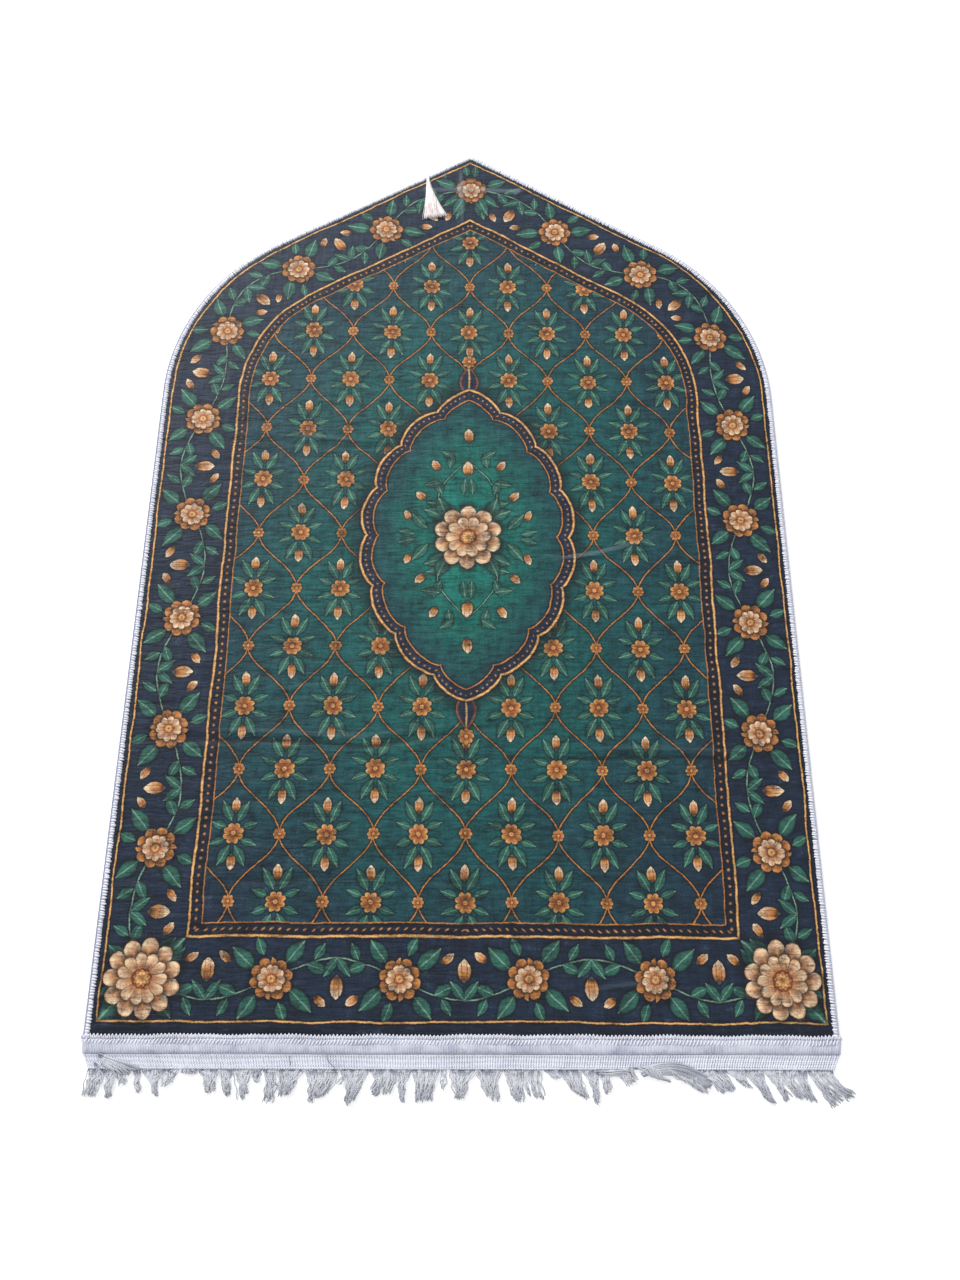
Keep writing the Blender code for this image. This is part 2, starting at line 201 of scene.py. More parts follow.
def rug_edge(x, y):
    """How far each point lies in from the rug's outer edge, and the way out to that edge."""
    turn = np.clip(np.arctan2(y - shoulder_y, np.abs(x) - shoulder_x), 0.0, roof_turn)
    inward = SHOULDER_RADIUS - (np.abs(x) - shoulder_x) * np.cos(turn) - (y - shoulder_y) * np.sin(turn)
    out_x, out_y = np.sign(x) * np.cos(turn), np.sin(turn)
    from_apex = np.hypot(x, y - apex_centre_y)
    at_apex = (y > apex_centre_y) & (np.arctan2(np.abs(x), y - apex_centre_y) < ROOF_ANGLE)
    from_apex = np.where(at_apex, from_apex, 1.0)
    inward = np.where(at_apex, APEX_RADIUS - from_apex, inward)
    out_x = np.where(at_apex, x / from_apex, out_x)
    out_y = np.where(at_apex, (y - apex_centre_y) / from_apex, out_y)
    return inward, out_x, out_y


def smooth_step(value, start, end):
    share = np.clip((value - start) / (end - start), 0.0, 1.0)
    return share * share * (3.0 - 2.0 * share)


def fold_height(x, y, line, height, width):
    """One fold's rise or dip at each point, full along its line and fading out towards its two ends."""
    nearest = np.full(x.shape, 1e9)
    fade = np.zeros(x.shape)
    lengths = [math.dist(start, end) for start, end in zip(line, line[1:])]
    passed = 0.0
    for start, end, length in zip(line, line[1:], lengths):
        step_x, step_y = end[0] - start[0], end[1] - start[1]
        share = np.clip(((x - start[0]) * step_x + (y - start[1]) * step_y) / length**2, 0.0, 1.0)
        away = np.hypot(x - start[0] - share * step_x, y - start[1] - share * step_y)
        run = (passed + share * length) / sum(lengths)
        closer = away < nearest
        nearest = np.where(closer, away, nearest)
        fade = np.where(closer, np.sin(np.pi * np.clip(run, 0.0, 1.0)) ** 0.45, fade)
        passed += length
    return height * fade * np.exp(-((nearest / width) ** 2))


def creases(x, y):
    """The rise or dip that the folds leave at each point of the cloth, in millimetres."""
    return sum(fold_height(x / MILLIMETRE, y / MILLIMETRE, *fold) for fold in FOLDS)


def cloth_top(x, y, crease):
    """The height of the pile, with its wide swells and its folds, pressed flat at the rim and the tape."""
    inward, _, _ = rug_edge(x, y)
    free = smooth_step(inward, PRESSED_TO, FULL_FROM) * smooth_step(y, hem_top_y, hem_top_y + 0.006)
    swell = np.sin(x * 13.0 + 1.2 * np.sin(y * 5.0)) * np.sin(y * 9.0 + 0.8)
    swell = swell + 0.6 * np.sin(y * 21.0 + x * 6.0 + 2.0)
    relief = SWELL_HEIGHT * swell + FOLD_DEPTH * MILLIMETRE * crease
    full = cloth_high.z + relief * smooth_step(inward, 0.004, 0.030)
    return CLOTH_PRESSED_TOP + (full - CLOTH_PRESSED_TOP) * free


def make_velvet_cloth():
    """A fine grid cut to the outline, with a thin rim and a flat underside."""
    columns = round((cloth_high.x - cloth_low.x) / CLOTH_CELL)
    rows = round((cloth_high.y - cloth_low.y) / CLOTH_CELL)
    across = np.linspace(cloth_low.x, cloth_high.x, columns + 1)
    up = np.linspace(cloth_low.y, cloth_high.y, rows + 1)
    x, y = np.meshgrid(across, up)
    middle_x, middle_y = np.meshgrid((across[1:] + across[:-1]) / 2, (up[1:] + up[:-1]) / 2)
    kept = rug_edge(middle_x, middle_y)[0] > cloth_inset
    used = np.zeros(x.shape, int)
    for down, left in ((0, 0), (0, 1), (1, 0), (1, 1)):
        used[down:rows + down, left:columns + left] += kept
    on_rim = (used > 0) & (used < 4) & (y > hem_top_y)
    inward, out_x, out_y = rug_edge(x, y)
    x = np.where(on_rim, x + out_x * (inward - cloth_inset), x)
    y = np.where(on_rim, y + out_y * (inward - cloth_inset), y)
    corner_draw = cloth_high.x - CORNER_HALF_WIDTH
    below_tape = np.clip((hem_top_y - y) / (hem_top_y - cloth_low.y), 0.0, 1.0)
    x = x * (1.0 - corner_draw * below_tape / cloth_high.x)
    crease = creases(x, y)
    z = cloth_top(x, y, crease)

    cloth = bmesh.new()
    creased = cloth.verts.layers.float.new("crease")
    points = {}
    for row, column in zip(*np.nonzero(used)):
        points[row, column] = cloth.verts.new((x[row, column], y[row, column], z[row, column]))
        points[row, column][creased] = crease[row, column]
    for row, column in zip(*np.nonzero(kept)):
        corners = ((row, column), (row, column + 1), (row + 1, column + 1), (row + 1, column))
        cloth.faces.new([points[corner] for corner in corners])
    rim = [edge for edge in cloth.edges if edge.is_boundary]
    for inset, height in ((0.0, CLOTH_PRESSED_BOTTOM), (UNDERSIDE_STEP, 0.0)):
        grown = bmesh.ops.extrude_edge_only(cloth, edges=rim)["geom"]
        rim = [part for part in grown if isinstance(part, bmesh.types.BMEdge)]
        for corner in {corner for edge in rim for corner in edge.verts}:
            _, way_x, way_y = (float(value) for value in rug_edge(corner.co.x, corner.co.y))
            at_foot = corner.co.y < cloth_low.y + CLOTH_CELL / 2
            corner.co.x -= way_x * inset if not at_foot or abs(corner.co.x) > FOOT_CORNER_FROM else 0.0
            corner.co.y += inset if at_foot else -way_y * inset
            corner.co.z = height
            corner[creased] = 0.0
    bmesh.ops.edgeloop_fill(cloth, edges=rim)
    bmesh.ops.recalc_face_normals(cloth, faces=cloth.faces)
    mesh = bpy.data.meshes.new("velvet_cloth")
    cloth.to_mesh(mesh)
    cloth.free()
    mesh.shade_smooth()
    mesh.set_sharp_from_angle(angle=math.radians(50))
    for face in mesh.polygons:
        face.material_index = 0 if face.normal.z > PILE_FACES_UP else 1
    return placed("velvet_cloth", mesh)


# THE PRINT ON THE VELVET
# A dyed carpet pattern in emerald, navy, gold and peach: a border of rosettes on a winding stem, an ogee
# lattice of small flowers, and a pointed medallion. It is printed on the pile, so its lines are a bit soft.
def add_node(tree, kind, inputs=(), **settings):
    """A node with its settings and its inputs."""
    node = tree.nodes.new(kind)
    for setting, value in settings.items():
        setattr(node, setting, value)
    fill(node, inputs)
    return node


class Measure:
    """A number that differs from point to point. Sums on it add nodes to the tree that it is in."""

    def __init__(self, socket):
        self.socket = socket

    def worked(self, operation, *others):
        tree = self.socket.id_data
        return Measure(add_node(tree, "ShaderNodeMath", (self, *others), operation=operation).outputs[0])

    def __add__(self, other):
        return self.worked("ADD", other)

    def __sub__(self, other):
        return self.worked("SUBTRACT", other)

    def __rsub__(self, other):
        return self.worked("MULTIPLY_ADD", -1.0, other)

    def __mul__(self, other):
        return self.worked("MULTIPLY", other)

    def __truediv__(self, other):
        return self.worked("DIVIDE", other)

    def __abs__(self):
        return self.worked("ABSOLUTE")

    def scaled(self, by, plus):
        return self.worked("MULTIPLY_ADD", by, plus)


def dye(red, green, blue):
    """A colour as seen on the cloth, from 0 to 255, as the shader wants it."""
    return (*(((part / 255 + 0.055) / 1.055) ** 2.4 for part in (red, green, blue)), 1.0)


def joined(across, up):
    """Two measures as one place on the cloth."""
    return add_node(across.socket.id_data, "ShaderNodeCombineXYZ", (across, up)).outputs["Vector"]


def parted(place):
    """A place on the cloth as its two measures."""
    step = add_node(place.id_data, "ShaderNodeSeparateXYZ", (place,))
    return Measure(step.outputs["X"]), Measure(step.outputs["Y"])


def reckoned(operation, place, *others):
    return add_node(place.id_data, "ShaderNodeVectorMath", (place, *others), operation=operation)


def span(place):
    """How far a place lies from its own middle."""
    return Measure(reckoned("LENGTH", place).outputs["Value"])


def toned(measure, *stops):
    """A run of dyes along a measure, from pairs of a place from 0 to 1 and a dye."""
    step = add_node(measure.socket.id_data, "ShaderNodeValToRGB", (measure,))
    ramp = step.color_ramp
    while len(ramp.elements) < len(stops):
        ramp.elements.new(0.5)
    for element, (at, colour) in zip(ramp.elements, stops):
        element.position = at
        element.color = colour
    return step.outputs["Color"]


# A Mix node has sockets of one name for numbers, places and colours. These are the ones for colours.
MIX_COVER, MIX_GROUND, MIX_COLOUR, MIX_RESULT = 0, 6, 7, 2


def dyed(ground, colour, cover, way="MIX"):
    """The ground with another colour laid over it, or multiplied with it. A cover ends at 0 and at 1."""
    inputs = {MIX_COVER: cover, MIX_GROUND: ground, MIX_COLOUR: colour}
    step = add_node(cover.socket.id_data, "ShaderNodeMix", inputs, data_type="RGBA", blend_type=way)
    return step.outputs[MIX_RESULT]


NIGHT = dye(16, 24, 42)
NAVY = dye(22, 38, 60)
DEEP_TEAL = dye(18, 62, 72)
TEAL = dye(10, 82, 82)
EMERALD = dye(4, 98, 88)
BRIGHT_EMERALD = dye(4, 116, 102)
SHADOW = dye(62, 68, 86)
FAINT_SHADOW = dye(130, 136, 146)
GOLD = dye(196, 132, 68)
PALE_GOLD = dye(226, 180, 112)
COPPER = dye(158, 88, 44)
RUSSET = dye(96, 44, 26)
PEACH = dye(204, 150, 106)
CREAM = dye(236, 208, 170)
LEAF_DARK = dye(20, 56, 54)
LEAF = dye(44, 98, 84)
LEAF_LIGHT = dye(126, 164, 140)
SOFT_EDGE = 0.8


def new_motif(name, *sizes):
    """A node group that draws one motif on the ground, from the place, sizes and dyes that it is given."""
    motif = bpy.data.node_groups.new(name, "ShaderNodeTree")
    for size in ("Ground", *sizes):
        kind = "Vector" if size == "Place" else "Color" if size.endswith(("Ground", "Dye")) else "Float"
        motif.interface.new_socket(size, in_out="INPUT", socket_type="NodeSocket" + kind)
    motif.interface.new_socket("Ground", in_out="OUTPUT", socket_type="NodeSocketColor")
    sockets = [socket for socket in add_node(motif, "NodeGroupInput").outputs if socket.name]
    return motif, {socket.name: Measure(socket) if socket.type == "VALUE" else socket for socket in sockets}


def end_motif(motif, ground):
    add_node(motif, "NodeGroupOutput", (ground,))
    return motif


def own_place(given, wide, tall):
    """The place as the motif sees it: from its own spot, turned, and measured in its own width and height."""
    across, up = parted(given["Place"])
    x, y = across - given["X"], up - given["Y"]
    sine, cosine = given["Turn"].worked("SINE"), given["Turn"].worked("COSINE")
    return (x * cosine + y * sine) / wide, (y * cosine - x * sine) / tall


def laid(motif, ground, *inputs):
    """The ground with one motif drawn on it, from the motif's own inputs in order."""
    return add_node(ground.id_data, "ShaderNodeGroup", (ground, *inputs), node_tree=motif).outputs["Ground"]


def make_leaf():
    """A pointed leaf that grows from its spot, darker at its rim and with a light rib."""
    motif, given = new_motif(
        "leaf", "Place", "X", "Y", "Turn", "Length", "Width", "Rim Dye", "Middle Dye", "Rib Dye"
    )
    along, aside = own_place(given, given["Length"], given["Width"] * 0.5)
    aside = abs(aside)
    inside = along * (1.0 - along) * along.scaled(-2.2, 5.5).worked("MAXIMUM", 0.4) - aside
    ground = dyed(given["Ground"], SHADOW, inside.scaled(1.5, 0.7), "MULTIPLY")
    tone = dyed(given["Rim Dye"], given["Middle Dye"], inside * 3.2)
    tone = dyed(tone, given["Rib Dye"], aside.scaled(-7.0, 1.0))
    return end_motif(motif, dyed(ground, tone, inside * given["Width"]))


def make_bud():
    """A closed flower: green at its foot, then copper, with a cream tip and two folds."""
    motif, given = new_motif("bud", "Place", "X", "Y", "Turn", "Length", "Width")
    along, aside = own_place(given, given["Length"], given["Width"] * 0.5)
    aside = abs(aside)
    inside = 1.0 - abs(along.scaled(2.0, -1.0)).worked("POWER", 2.4) - aside
    ground = dyed(given["Ground"], SHADOW, inside.scaled(1.5, 0.8), "MULTIPLY")
    tone = toned(along + aside * 0.16, (0.05, LEAF), (0.2, RUSSET), (0.42, GOLD), (0.68, PEACH), (0.9, CREAM))
    tone = dyed(tone, RUSSET, abs(aside - 0.42).scaled(-7.0, 0.75), "MULTIPLY")
    return end_motif(motif, dyed(ground, tone, inside * given["Width"]))


def make_petals(name, notch, *stops):
    """One round of petals with its shadow. Each petal is lit on one side and shaded on the other."""
    motif, given = new_motif(name, "Place", "X", "Y", "Turn", "Radius", "Count")
    along, aside = own_place(given, given["Radius"], given["Radius"])
    turn = aside.worked("ARCTAN2", along) * given["Count"]
    lobe = abs((turn * 0.5).worked("COSINE"))
    reach = span(joined(along, aside)) / lobe.worked("POWER", 0.55).scaled(notch, 1.0 - notch)
    ground = dyed(given["Ground"], SHADOW, reach.scaled(-3.2, 4.1), "MULTIPLY")
    tone = toned(reach, *stops)
    tone = dyed(tone, COPPER, turn.worked("SINE").scaled(0.26, 0.14), "MULTIPLY")
    tone = dyed(tone, RUSSET, lobe.scaled(-2.7, 0.76), "MULTIPLY")
    return end_motif(motif, dyed(ground, tone, (1.0 - reach) * given["Radius"]))


def make_stamens():
    """The seeded middle of a flower."""
    motif, given = new_motif("stamens", "Place", "X", "Y", "Turn", "Radius")
    along, aside = own_place(given, given["Radius"], given["Radius"])
    far = span(joined(along, aside))
    grain = (aside.worked("ARCTAN2", along) * 9.0).worked("SINE") * (far * 15.0).worked("SINE")
    tone = toned(far + grain * 0.16, (0.1, COPPER), (0.42, PALE_GOLD), (0.7, COPPER), (0.95, RUSSET))
    return end_motif(motif, dyed(given["Ground"], tone, (1.0 - far) * given["Radius"]))


def make_stroke():
    """A drawn line with a light core, dark edges and a soft shadow. Off is the distance from its middle."""
    motif, given = new_motif("stroke", "Off", "Half Width", "Core Dye", "Edge Dye")
    room = given["Half Width"] - given["Off"]
    ground = dyed(given["Ground"], SHADOW, room.scaled(0.34, 0.9), "MULTIPLY")
    tone = dyed(given["Core Dye"], given["Edge Dye"], (given["Off"] / given["Half Width"]).scaled(1.4, -0.35))
    return end_motif(motif, dyed(ground, tone, room.scaled(1.5, 0.4)))


leaf = make_leaf()
bud = make_bud()
stamens = make_stamens()
stroke = make_stroke()
outer_petals = make_petals(
    "outer_petals", 0.24, (0.3, RUSSET), (0.45, GOLD), (0.74, PEACH), (0.93, CREAM), (1.0, PEACH)
)
inner_petals = make_petals("inner_petals", 0.24, (0.25, COPPER), (0.55, PEACH), (0.9, CREAM), (1.0, PEACH))
dusky_petals = make_petals("dusky_petals", 0.24, (0.3, RUSSET), (0.55, COPPER), (0.92, GOLD), (1.0, PEACH))
small_petals = make_petals("small_petals", 0.34, (0.2, RUSSET), (0.4, COPPER), (0.75, GOLD), (1.0, PALE_GOLD))
LEAF_DYES = (LEAF_DARK, LEAF, LEAF_LIGHT)


def scattered(motif, ground, place, rows, dyes=()):
    """One motif many times over, each from its x, y, turn in degrees, length and width."""
    for x, y, turn_deg, length, width in rows:
        ground = laid(motif, ground, place, x, y, math.radians(turn_deg), length, width, *dyes)
    return ground


def leaves(ground, place, *rows):
    return scattered(leaf, ground, place, rows, LEAF_DYES)


def buds(ground, place, *rows):
    return scattered(bud, ground, place, rows)


def drawn(ground, off, half_width, core=PALE_GOLD, edge=COPPER):
    """The ground with a line drawn where the distance off is small."""
    return laid(stroke, ground, off, half_width, core, edge)


def full_flower(ground, place, x, y, radius, count, turn_deg=0.0, petals=outer_petals):
    """An open flower of two rounds of petals and a seeded middle."""
    turn, half_petal = math.radians(turn_deg), math.pi / count
    ground = laid(petals, ground, place, x, y, turn, radius, count)
    ground = laid(inner_petals, ground, place, x, y, turn + half_petal, radius * 0.66, count)
    return laid(stamens, ground, place, x, y, 0.0, radius * 0.27)


def small_flower(ground, place, x, y, radius, turn_deg=0.0):
    ground = laid(small_petals, ground, place, x, y, math.radians(turn_deg), radius, 8)
    return laid(stamens, ground, place, x, y, 0.0, radius * 0.3)


def bead_row(ground, along, aside, pitch, radius):
    """A row of round gold beads along a line."""
    step = (along + pitch * 200.0).worked("MODULO", pitch) - pitch / 2
    return dyed(ground, GOLD, (radius - span(joined(step, aside))) * SOFT_EDGE)


# The print is laid out in millimetres.
PER_METRE = 1000.0
BORDER_FROM = 13.0
BORDER_TO = 100.0
GUARD_TO = 114.0
BORDER_MIDDLE = 56.0
STEM_SWING = 21.0
SIDE_FLOWERS = 9
FOOT_FLOWERS = 5
CELL = 136.0
LATTICE_WIDE = 104.0
LATTICE_TALL = 148.0
MEDALLION_HALF_WIDE = 128.0
MEDALLION_HALF_TALL = 206.0
MEDALLION_Y = -4.0


def print_field(ground, across, up):
    """The ogee lattice: gold stems that part and meet, with small flowers where they meet and in each eye."""
    x = across.worked("PINGPONG", LATTICE_WIDE / 2)
    y = (up + LATTICE_TALL * 8.0).worked("PINGPONG", LATTICE_TALL / 2)
    swing = y * (2.0 * math.pi / LATTICE_TALL)
    stem_x = swing.worked("COSINE").scaled(LATTICE_WIDE / 4, LATTICE_WIDE / 4)
    beyond = x.worked("GREATER_THAN", stem_x)
    steep = swing.worked("SINE").scaled(-0.26, 1.0)
    ground = drawn(ground, abs(x - stem_x) * steep, 0.95, GOLD, RUSSET)
    eye = joined(abs(x - beyond * (LATTICE_WIDE / 2)), abs(y - beyond * (LATTICE_TALL / 2)))
    ground = leaves(ground, eye, (3.0, 13.0, 62.0, 27.0, 10.5), (8.0, 6.0, 20.0, 20.0, 8.5))
    ground = buds(ground, eye, (0.0, 22.0, 90.0, 19.0, 10.0))
    ground = small_flower(ground, eye, 0.0, 0.0, 12.0, 22.5)
    return small_flower(ground, eye, LATTICE_WIDE / 2, 0.0, 7.5)


def print_medallion(ground, across, up):
    """The pointed medallion: a scalloped gold band, mirrored leaves and buds, and one flower."""
    y = abs(up - MEDALLION_Y)
    wide, tall = MEDALLION_HALF_WIDE, MEDALLION_HALF_TALL
    side_radius = (wide**2 + tall**2) / (2.0 * wide)
    from_side = across + (side_radius - wide)
    turn = y.worked("ARCTAN2", from_side)
    scallop = abs((turn * 10.5).worked("SINE")).worked("POWER", 0.6) * 9.0
    inward = side_radius - span(joined(from_side, y)) + scallop
    place = joined(across, y)
    ground = dyed(ground, FAINT_SHADOW, inward.scaled(0.06, 1.0), "MULTIPLY")
    ground = laid(leaf, ground, place, 0.0, tall - 4.0, math.pi / 2, 44.0, 22.0, COPPER, NAVY, PALE_GOLD)
    ground = small_flower(ground, place, 0.0, tall + 47.0, 10.0)
    ground = dyed(ground, NAVY, inward * SOFT_EDGE)
    ground = drawn(ground, abs(inward - 3.0), 1.7)
    ground = bead_row(ground, turn * side_radius, inward - 9.5, 7.2, 1.7)
    far_in = toned(inward * 0.008, (0.1, DEEP_TEAL), (0.55, EMERALD), (1.0, BRIGHT_EMERALD))
    ground = dyed(ground, far_in, (inward - 17.0) * SOFT_EDGE)
    ground = drawn(ground, abs(inward - 17.0), 1.1, GOLD, RUSSET)
    stem = abs(across - (y * 0.030).worked("SINE").scaled(34.0, 3.0))
    beyond_stem = (abs(y - 83.0) - 49.0).worked("MAXIMUM", 0.0)
    ground = drawn(ground, stem + beyond_stem, 0.9, LEAF_LIGHT, LEAF_DARK)
    ground = leaves(
        ground, place, (26, 42, 12, 26, 11), (33, 58, 70, 24, 10), (34, 74, -8, 22, 10),
        (24, 96, 100, 24, 10), (18, 110, 32, 20, 9), (6, 58, 96, 24, 10), (50, 10, 48, 30, 12),
        (66, 3, 14, 22, 9), (26, 26, 22.5, 30, 15), (26, 26, 67.5, 30, 15),
    )
    ground = buds(
        ground, place, (52, 50, 40, 17, 10), (37, 92, 58, 17, 10), (0, 84, 90, 22, 14), (0, 132, 90, 20, 12),
        (72, 22, 66, 16, 9),
    )
    return full_flower(ground, joined(across, up), 0.0, MEDALLION_Y, 43.0, 10, 18.0)


def print_border(ground, across, up):
    """The border that follows the outline: its ground, its flowers in cells along it, and its guards."""
    x, y = across - shoulder_x * PER_METRE, up - shoulder_y * PER_METRE
    radius = SHOULDER_RADIUS * PER_METRE
    turn = y.worked("ARCTAN2", x).worked("MINIMUM", roof_turn).worked("MAXIMUM", 0.0)
    sine, cosine = turn.worked("SINE"), turn.worked("COSINE")
    side_in = radius - (x * cosine + y * sine)
    side_along = turn * (radius - BORDER_MIDDLE) + (y * cosine - x * sine)
    foot_in = up - hem_top_y * PER_METRE
    at_foot = foot_in.worked("LESS_THAN", side_in)
    inward = foot_in.worked("MINIMUM", side_in)

    foot_cell = (rug_half_width * PER_METRE - BORDER_MIDDLE) * 2.0 / FOOT_FLOWERS
    bend = radius - BORDER_MIDDLE
    side_start = (hem_top_y - shoulder_y) * PER_METRE + BORDER_MIDDLE
    roof_long = (shoulder_x * PER_METRE + bend * math.cos(roof_turn)) / math.cos(ROOF_ANGLE)
    side_long = bend * roof_turn + roof_long - side_start
    side_paces = (side_along - side_start) * (SIDE_FLOWERS / side_long)
    foot_paces = across.scaled(1.0 / foot_cell, FOOT_FLOWERS / 2.0)
    paces = side_paces + at_foot * (foot_paces - side_paces)
    cell = paces.worked("ROUND")
    odd = (cell + 20.0).worked("MODULO", 2.0).scaled(2.0, -1.0)
    along = (paces - cell) * CELL
    aside = (inward - BORDER_MIDDLE) * odd * along.worked("SIGN")
    along = abs(along)

    band = dyed(NAVY, NIGHT, (BORDER_FROM + 9.0 - inward) * 0.045)
    stem = (along * (math.pi / CELL)).worked("SINE") * STEM_SWING
    band = drawn(band, abs(aside - stem), 1.1, LEAF_LIGHT, LEAF_DARK)
    place = joined(along, aside)
    band = leaves(
        band, place, (15, 17, 52, 30, 15), (18, -10, -42, 34, 16), (36, 16, -24, 24, 11),
        (44, 20, 60, 20, 10), (68, 21, -128, 25, 10), (8, -24, -66, 22, 11),
    )
    band = buds(band, place, (CELL / 2, 4.0, -90.0, 26.0, 14.0), (44.0, -17.0, -38.0, 17.0, 9.0))
    band = full_flower(band, place, 0.0, 0.0, 23.0, 9, 14.0, dusky_petals)

    band = drawn(band, abs(inward - BORDER_FROM), 1.1)
    band = dyed(band, NIGHT, (inward - BORDER_TO) * SOFT_EDGE)
    band = bead_row(band, side_along + at_foot * across, inward - (BORDER_TO + 7.0), 9.0, 2.0)
    band = drawn(band, abs(inward - BORDER_TO), 1.5)
    band = drawn(band, abs(inward - GUARD_TO), 1.1, GOLD, RUSSET)
    corner = joined(across - (rug_half_width * PER_METRE - BORDER_MIDDLE), foot_in - BORDER_MIDDLE)
    band = leaves(band, corner, (0.0, 0.0, 135.0, 60.0, 24.0), (0.0, 0.0, -45.0, 60.0, 24.0))
    band = full_flower(band, corner, 0.0, 0.0, 42.0, 11)
    peak = joined(across, up - (roof_peak_y * PER_METRE - BORDER_MIDDLE / math.cos(ROOF_ANGLE)))
    band = leaves(band, peak, (6.0, -6.0, -32.0, 42.0, 15.0), (6.0, -6.0, -62.0, 42.0, 15.0))
    band = full_flower(band, peak, 0.0, 0.0, 21.0, 9, 10.0, dusky_petals)
    return dyed(ground, band, (GUARD_TO + 1.0 - inward) * SOFT_EDGE)


def new_material(name):
    """A material, its shader, and the place of each point in its own object."""
    material = bpy.data.materials.new(name)
    material.use_nodes = True
    tree = material.node_tree
    return material, tree.nodes["Principled BSDF"], add_node(tree, "ShaderNodeTexCoord").outputs["Object"]


def add_noise(place, scale, detail, roughness=0.5):
    inputs = {"Vector": place, "Scale": scale, "Detail": detail, "Roughness": roughness}
    return add_node(place.id_data, "ShaderNodeTexNoise", inputs)


def cloudy(*place_and_sizes):
    """A noise as a measure from 0 to 1."""
    return Measure(add_noise(*place_and_sizes).outputs["Fac"])


def stretched(place, across, up):
    """The place drawn out, so that a pattern read there is finer one way than the other."""
    return reckoned("MULTIPLY", place, (across, up, 1.0)).outputs["Vector"]


def shifted(place, noise, by):
    """The place moved about by a noise, at most half of by either way."""
    middle = reckoned("SUBTRACT", noise.outputs["Color"], (0.5, 0.5, 0.5)).outputs["Vector"]
    return reckoned("MULTIPLY_ADD", middle, (by, by, 0.0), place).outputs["Vector"]


def add_bump(shader, height, distance):
    """Relief that is too fine for the mesh."""
    inputs = {"Height": height, "Distance": distance, "Strength": 1.0}
    fill(shader, {"Normal": add_node(shader.id_data, "ShaderNodeBump", inputs).outputs["Normal"]})


def make_printed_velvet():
    """Short cut pile: a print that wanders a little, mottling, fine wrinkles, creases with painted shade and
    highlights, and a soft sheen.
    """
    material, shader, spot = new_material("printed_velvet")
    place = spot
    for scale, detail, by in ((900.0, 1.0, 0.0014), (150.0, 1.0, 0.0016), (16.0, 2.0, 0.0065)):
        place = shifted(place, add_noise(spot, scale, detail), by)
    across, up = parted(place)
    across, up = abs(across * PER_METRE), up * PER_METRE

    cloud = cloudy(spot, 7.0, 3.0, 0.6)
    glow = span(joined(across * (1.0 / 400.0), (up + 30.0) * (1.0 / 620.0))) + cloud.scaled(0.7, -0.35)
    ground = toned(glow, (0.05, EMERALD), (0.45, TEAL), (0.75, DEEP_TEAL), (1.0, NAVY))
    ground = print_field(ground, across, up)
    ground = print_medallion(ground, across, up)
    ground = print_border(ground, across, up)

    streak = cloudy(stretched(spot, 1.0, 9.0), 30.0, 4.0, 0.7)
    brushed = cloudy(stretched(spot, 6.0, 1.0), 24.0, 3.0, 0.7)
    mottling = cloudy(stretched(spot, 1.0, 1.5), 62.0, 4.0, 0.7)
    grain = cloudy(spot, 480.0, 2.0, 0.7)
    nap = mottling * 0.8 + streak * 0.55 + brushed * 0.35 + grain * 0.5
    lines = cloudy(stretched(place, 1.0, 5.5), 12.0, 2.0, 0.6)
    patches = cloudy(spot, 11.0, 2.0)
    wrinkle = abs(lines - 0.5).scaled(-24.0, 1.0).worked("MAXIMUM", 0.0) * patches
    crease = Measure(add_node(spot.id_data, "ShaderNodeAttribute", attribute_name="crease").outputs["Fac"])
    # Painted shade: the troughs of the folds and the fine wrinkle lines are darkened in the colour below.
    painted_fold_shade = (crease.scaled(-0.95, -0.28) * patches.scaled(2.4, -0.3)).worked("MAXIMUM", wrinkle * 0.6)

    ground = dyed(ground, dye(96, 106, 128), nap.scaled(3.0, -3.05), "MULTIPLY")
    ground = dyed(ground, dye(44, 52, 70), painted_fold_shade, "MULTIPLY")
    # Painted highlight: the fold ridges, and patches where the nap is low, are paled towards a bluish grey
    # sheen; raised is this painted sheen.
    painted_ridge_sheen = (crease.scaled(1.5, -0.5) * patches).worked("MINIMUM", 0.42)
    raised = painted_ridge_sheen.worked("MAXIMUM", nap.scaled(-0.75, 0.74))
    fill(shader, {
        "Base Color": dyed(ground, dye(128, 148, 156), raised), "Roughness": 0.66, "Specular IOR Level": 0.3,
        "Sheen Weight": 0.26, "Sheen Roughness": 0.42, "Sheen Tint": (0.62, 0.80, 1.0, 1.0),
    })

    swells = cloudy(stretched(spot, 1.0, 5.0), 12.0, 3.0, 0.6)
    ripples = cloudy(stretched(spot, 4.0, 1.0), 11.0, 3.0, 0.6)
    height = swells * 1.5 + ripples * 1.1 + mottling * 0.22 + grain * 0.12 - wrinkle * 0.30
    add_bump(shader, height, 0.0017)
    return material


def make_backing():
    """The plain woven underside, in natural cotton."""
    material, shader, spot = new_material("woven_backing")
    across, up = parted(spot)
    weave = (up * 3600.0).worked("SINE") * (across * 3000.0).worked("SINE")
    slub = cloudy(spot, 160.0, 2.0)
    thread = weave.scaled(0.32, 0.5) + (slub - 0.5) * 0.5
    tone = toned(thread, (0.1, dye(150, 146, 136)), (0.9, dye(206, 202, 192)))
    fill(shader, {"Base Color": tone, "Roughness": 0.9})
    add_bump(shader, weave * 0.5, 0.0003)
    return material


velvet_cloth = make_velvet_cloth()
velvet_cloth.data.materials.append(make_printed_velvet())
velvet_cloth.data.materials.append(make_backing())
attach(velvet_cloth, "root")
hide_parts("rug_body")


# THE OVERLOCKED EDGING
# Overlock yarn round the rim of the cloth: plain wraps over the edge, and a row of white stitches inside
# them. One wrap and one stitch are modelled, and Geometry Nodes sews them along the outline, each a little
# different.
WRAP_PITCH = 0.0020
WRAP_RADIUS = 0.00105
RUNG_PITCH = 0.0030
RUNG_RADIUS = 0.00095
YARN_SIDES = 6
EDGING_DYE = dye(204, 206, 220)
RUNG_DYE = dye(236, 238, 246)


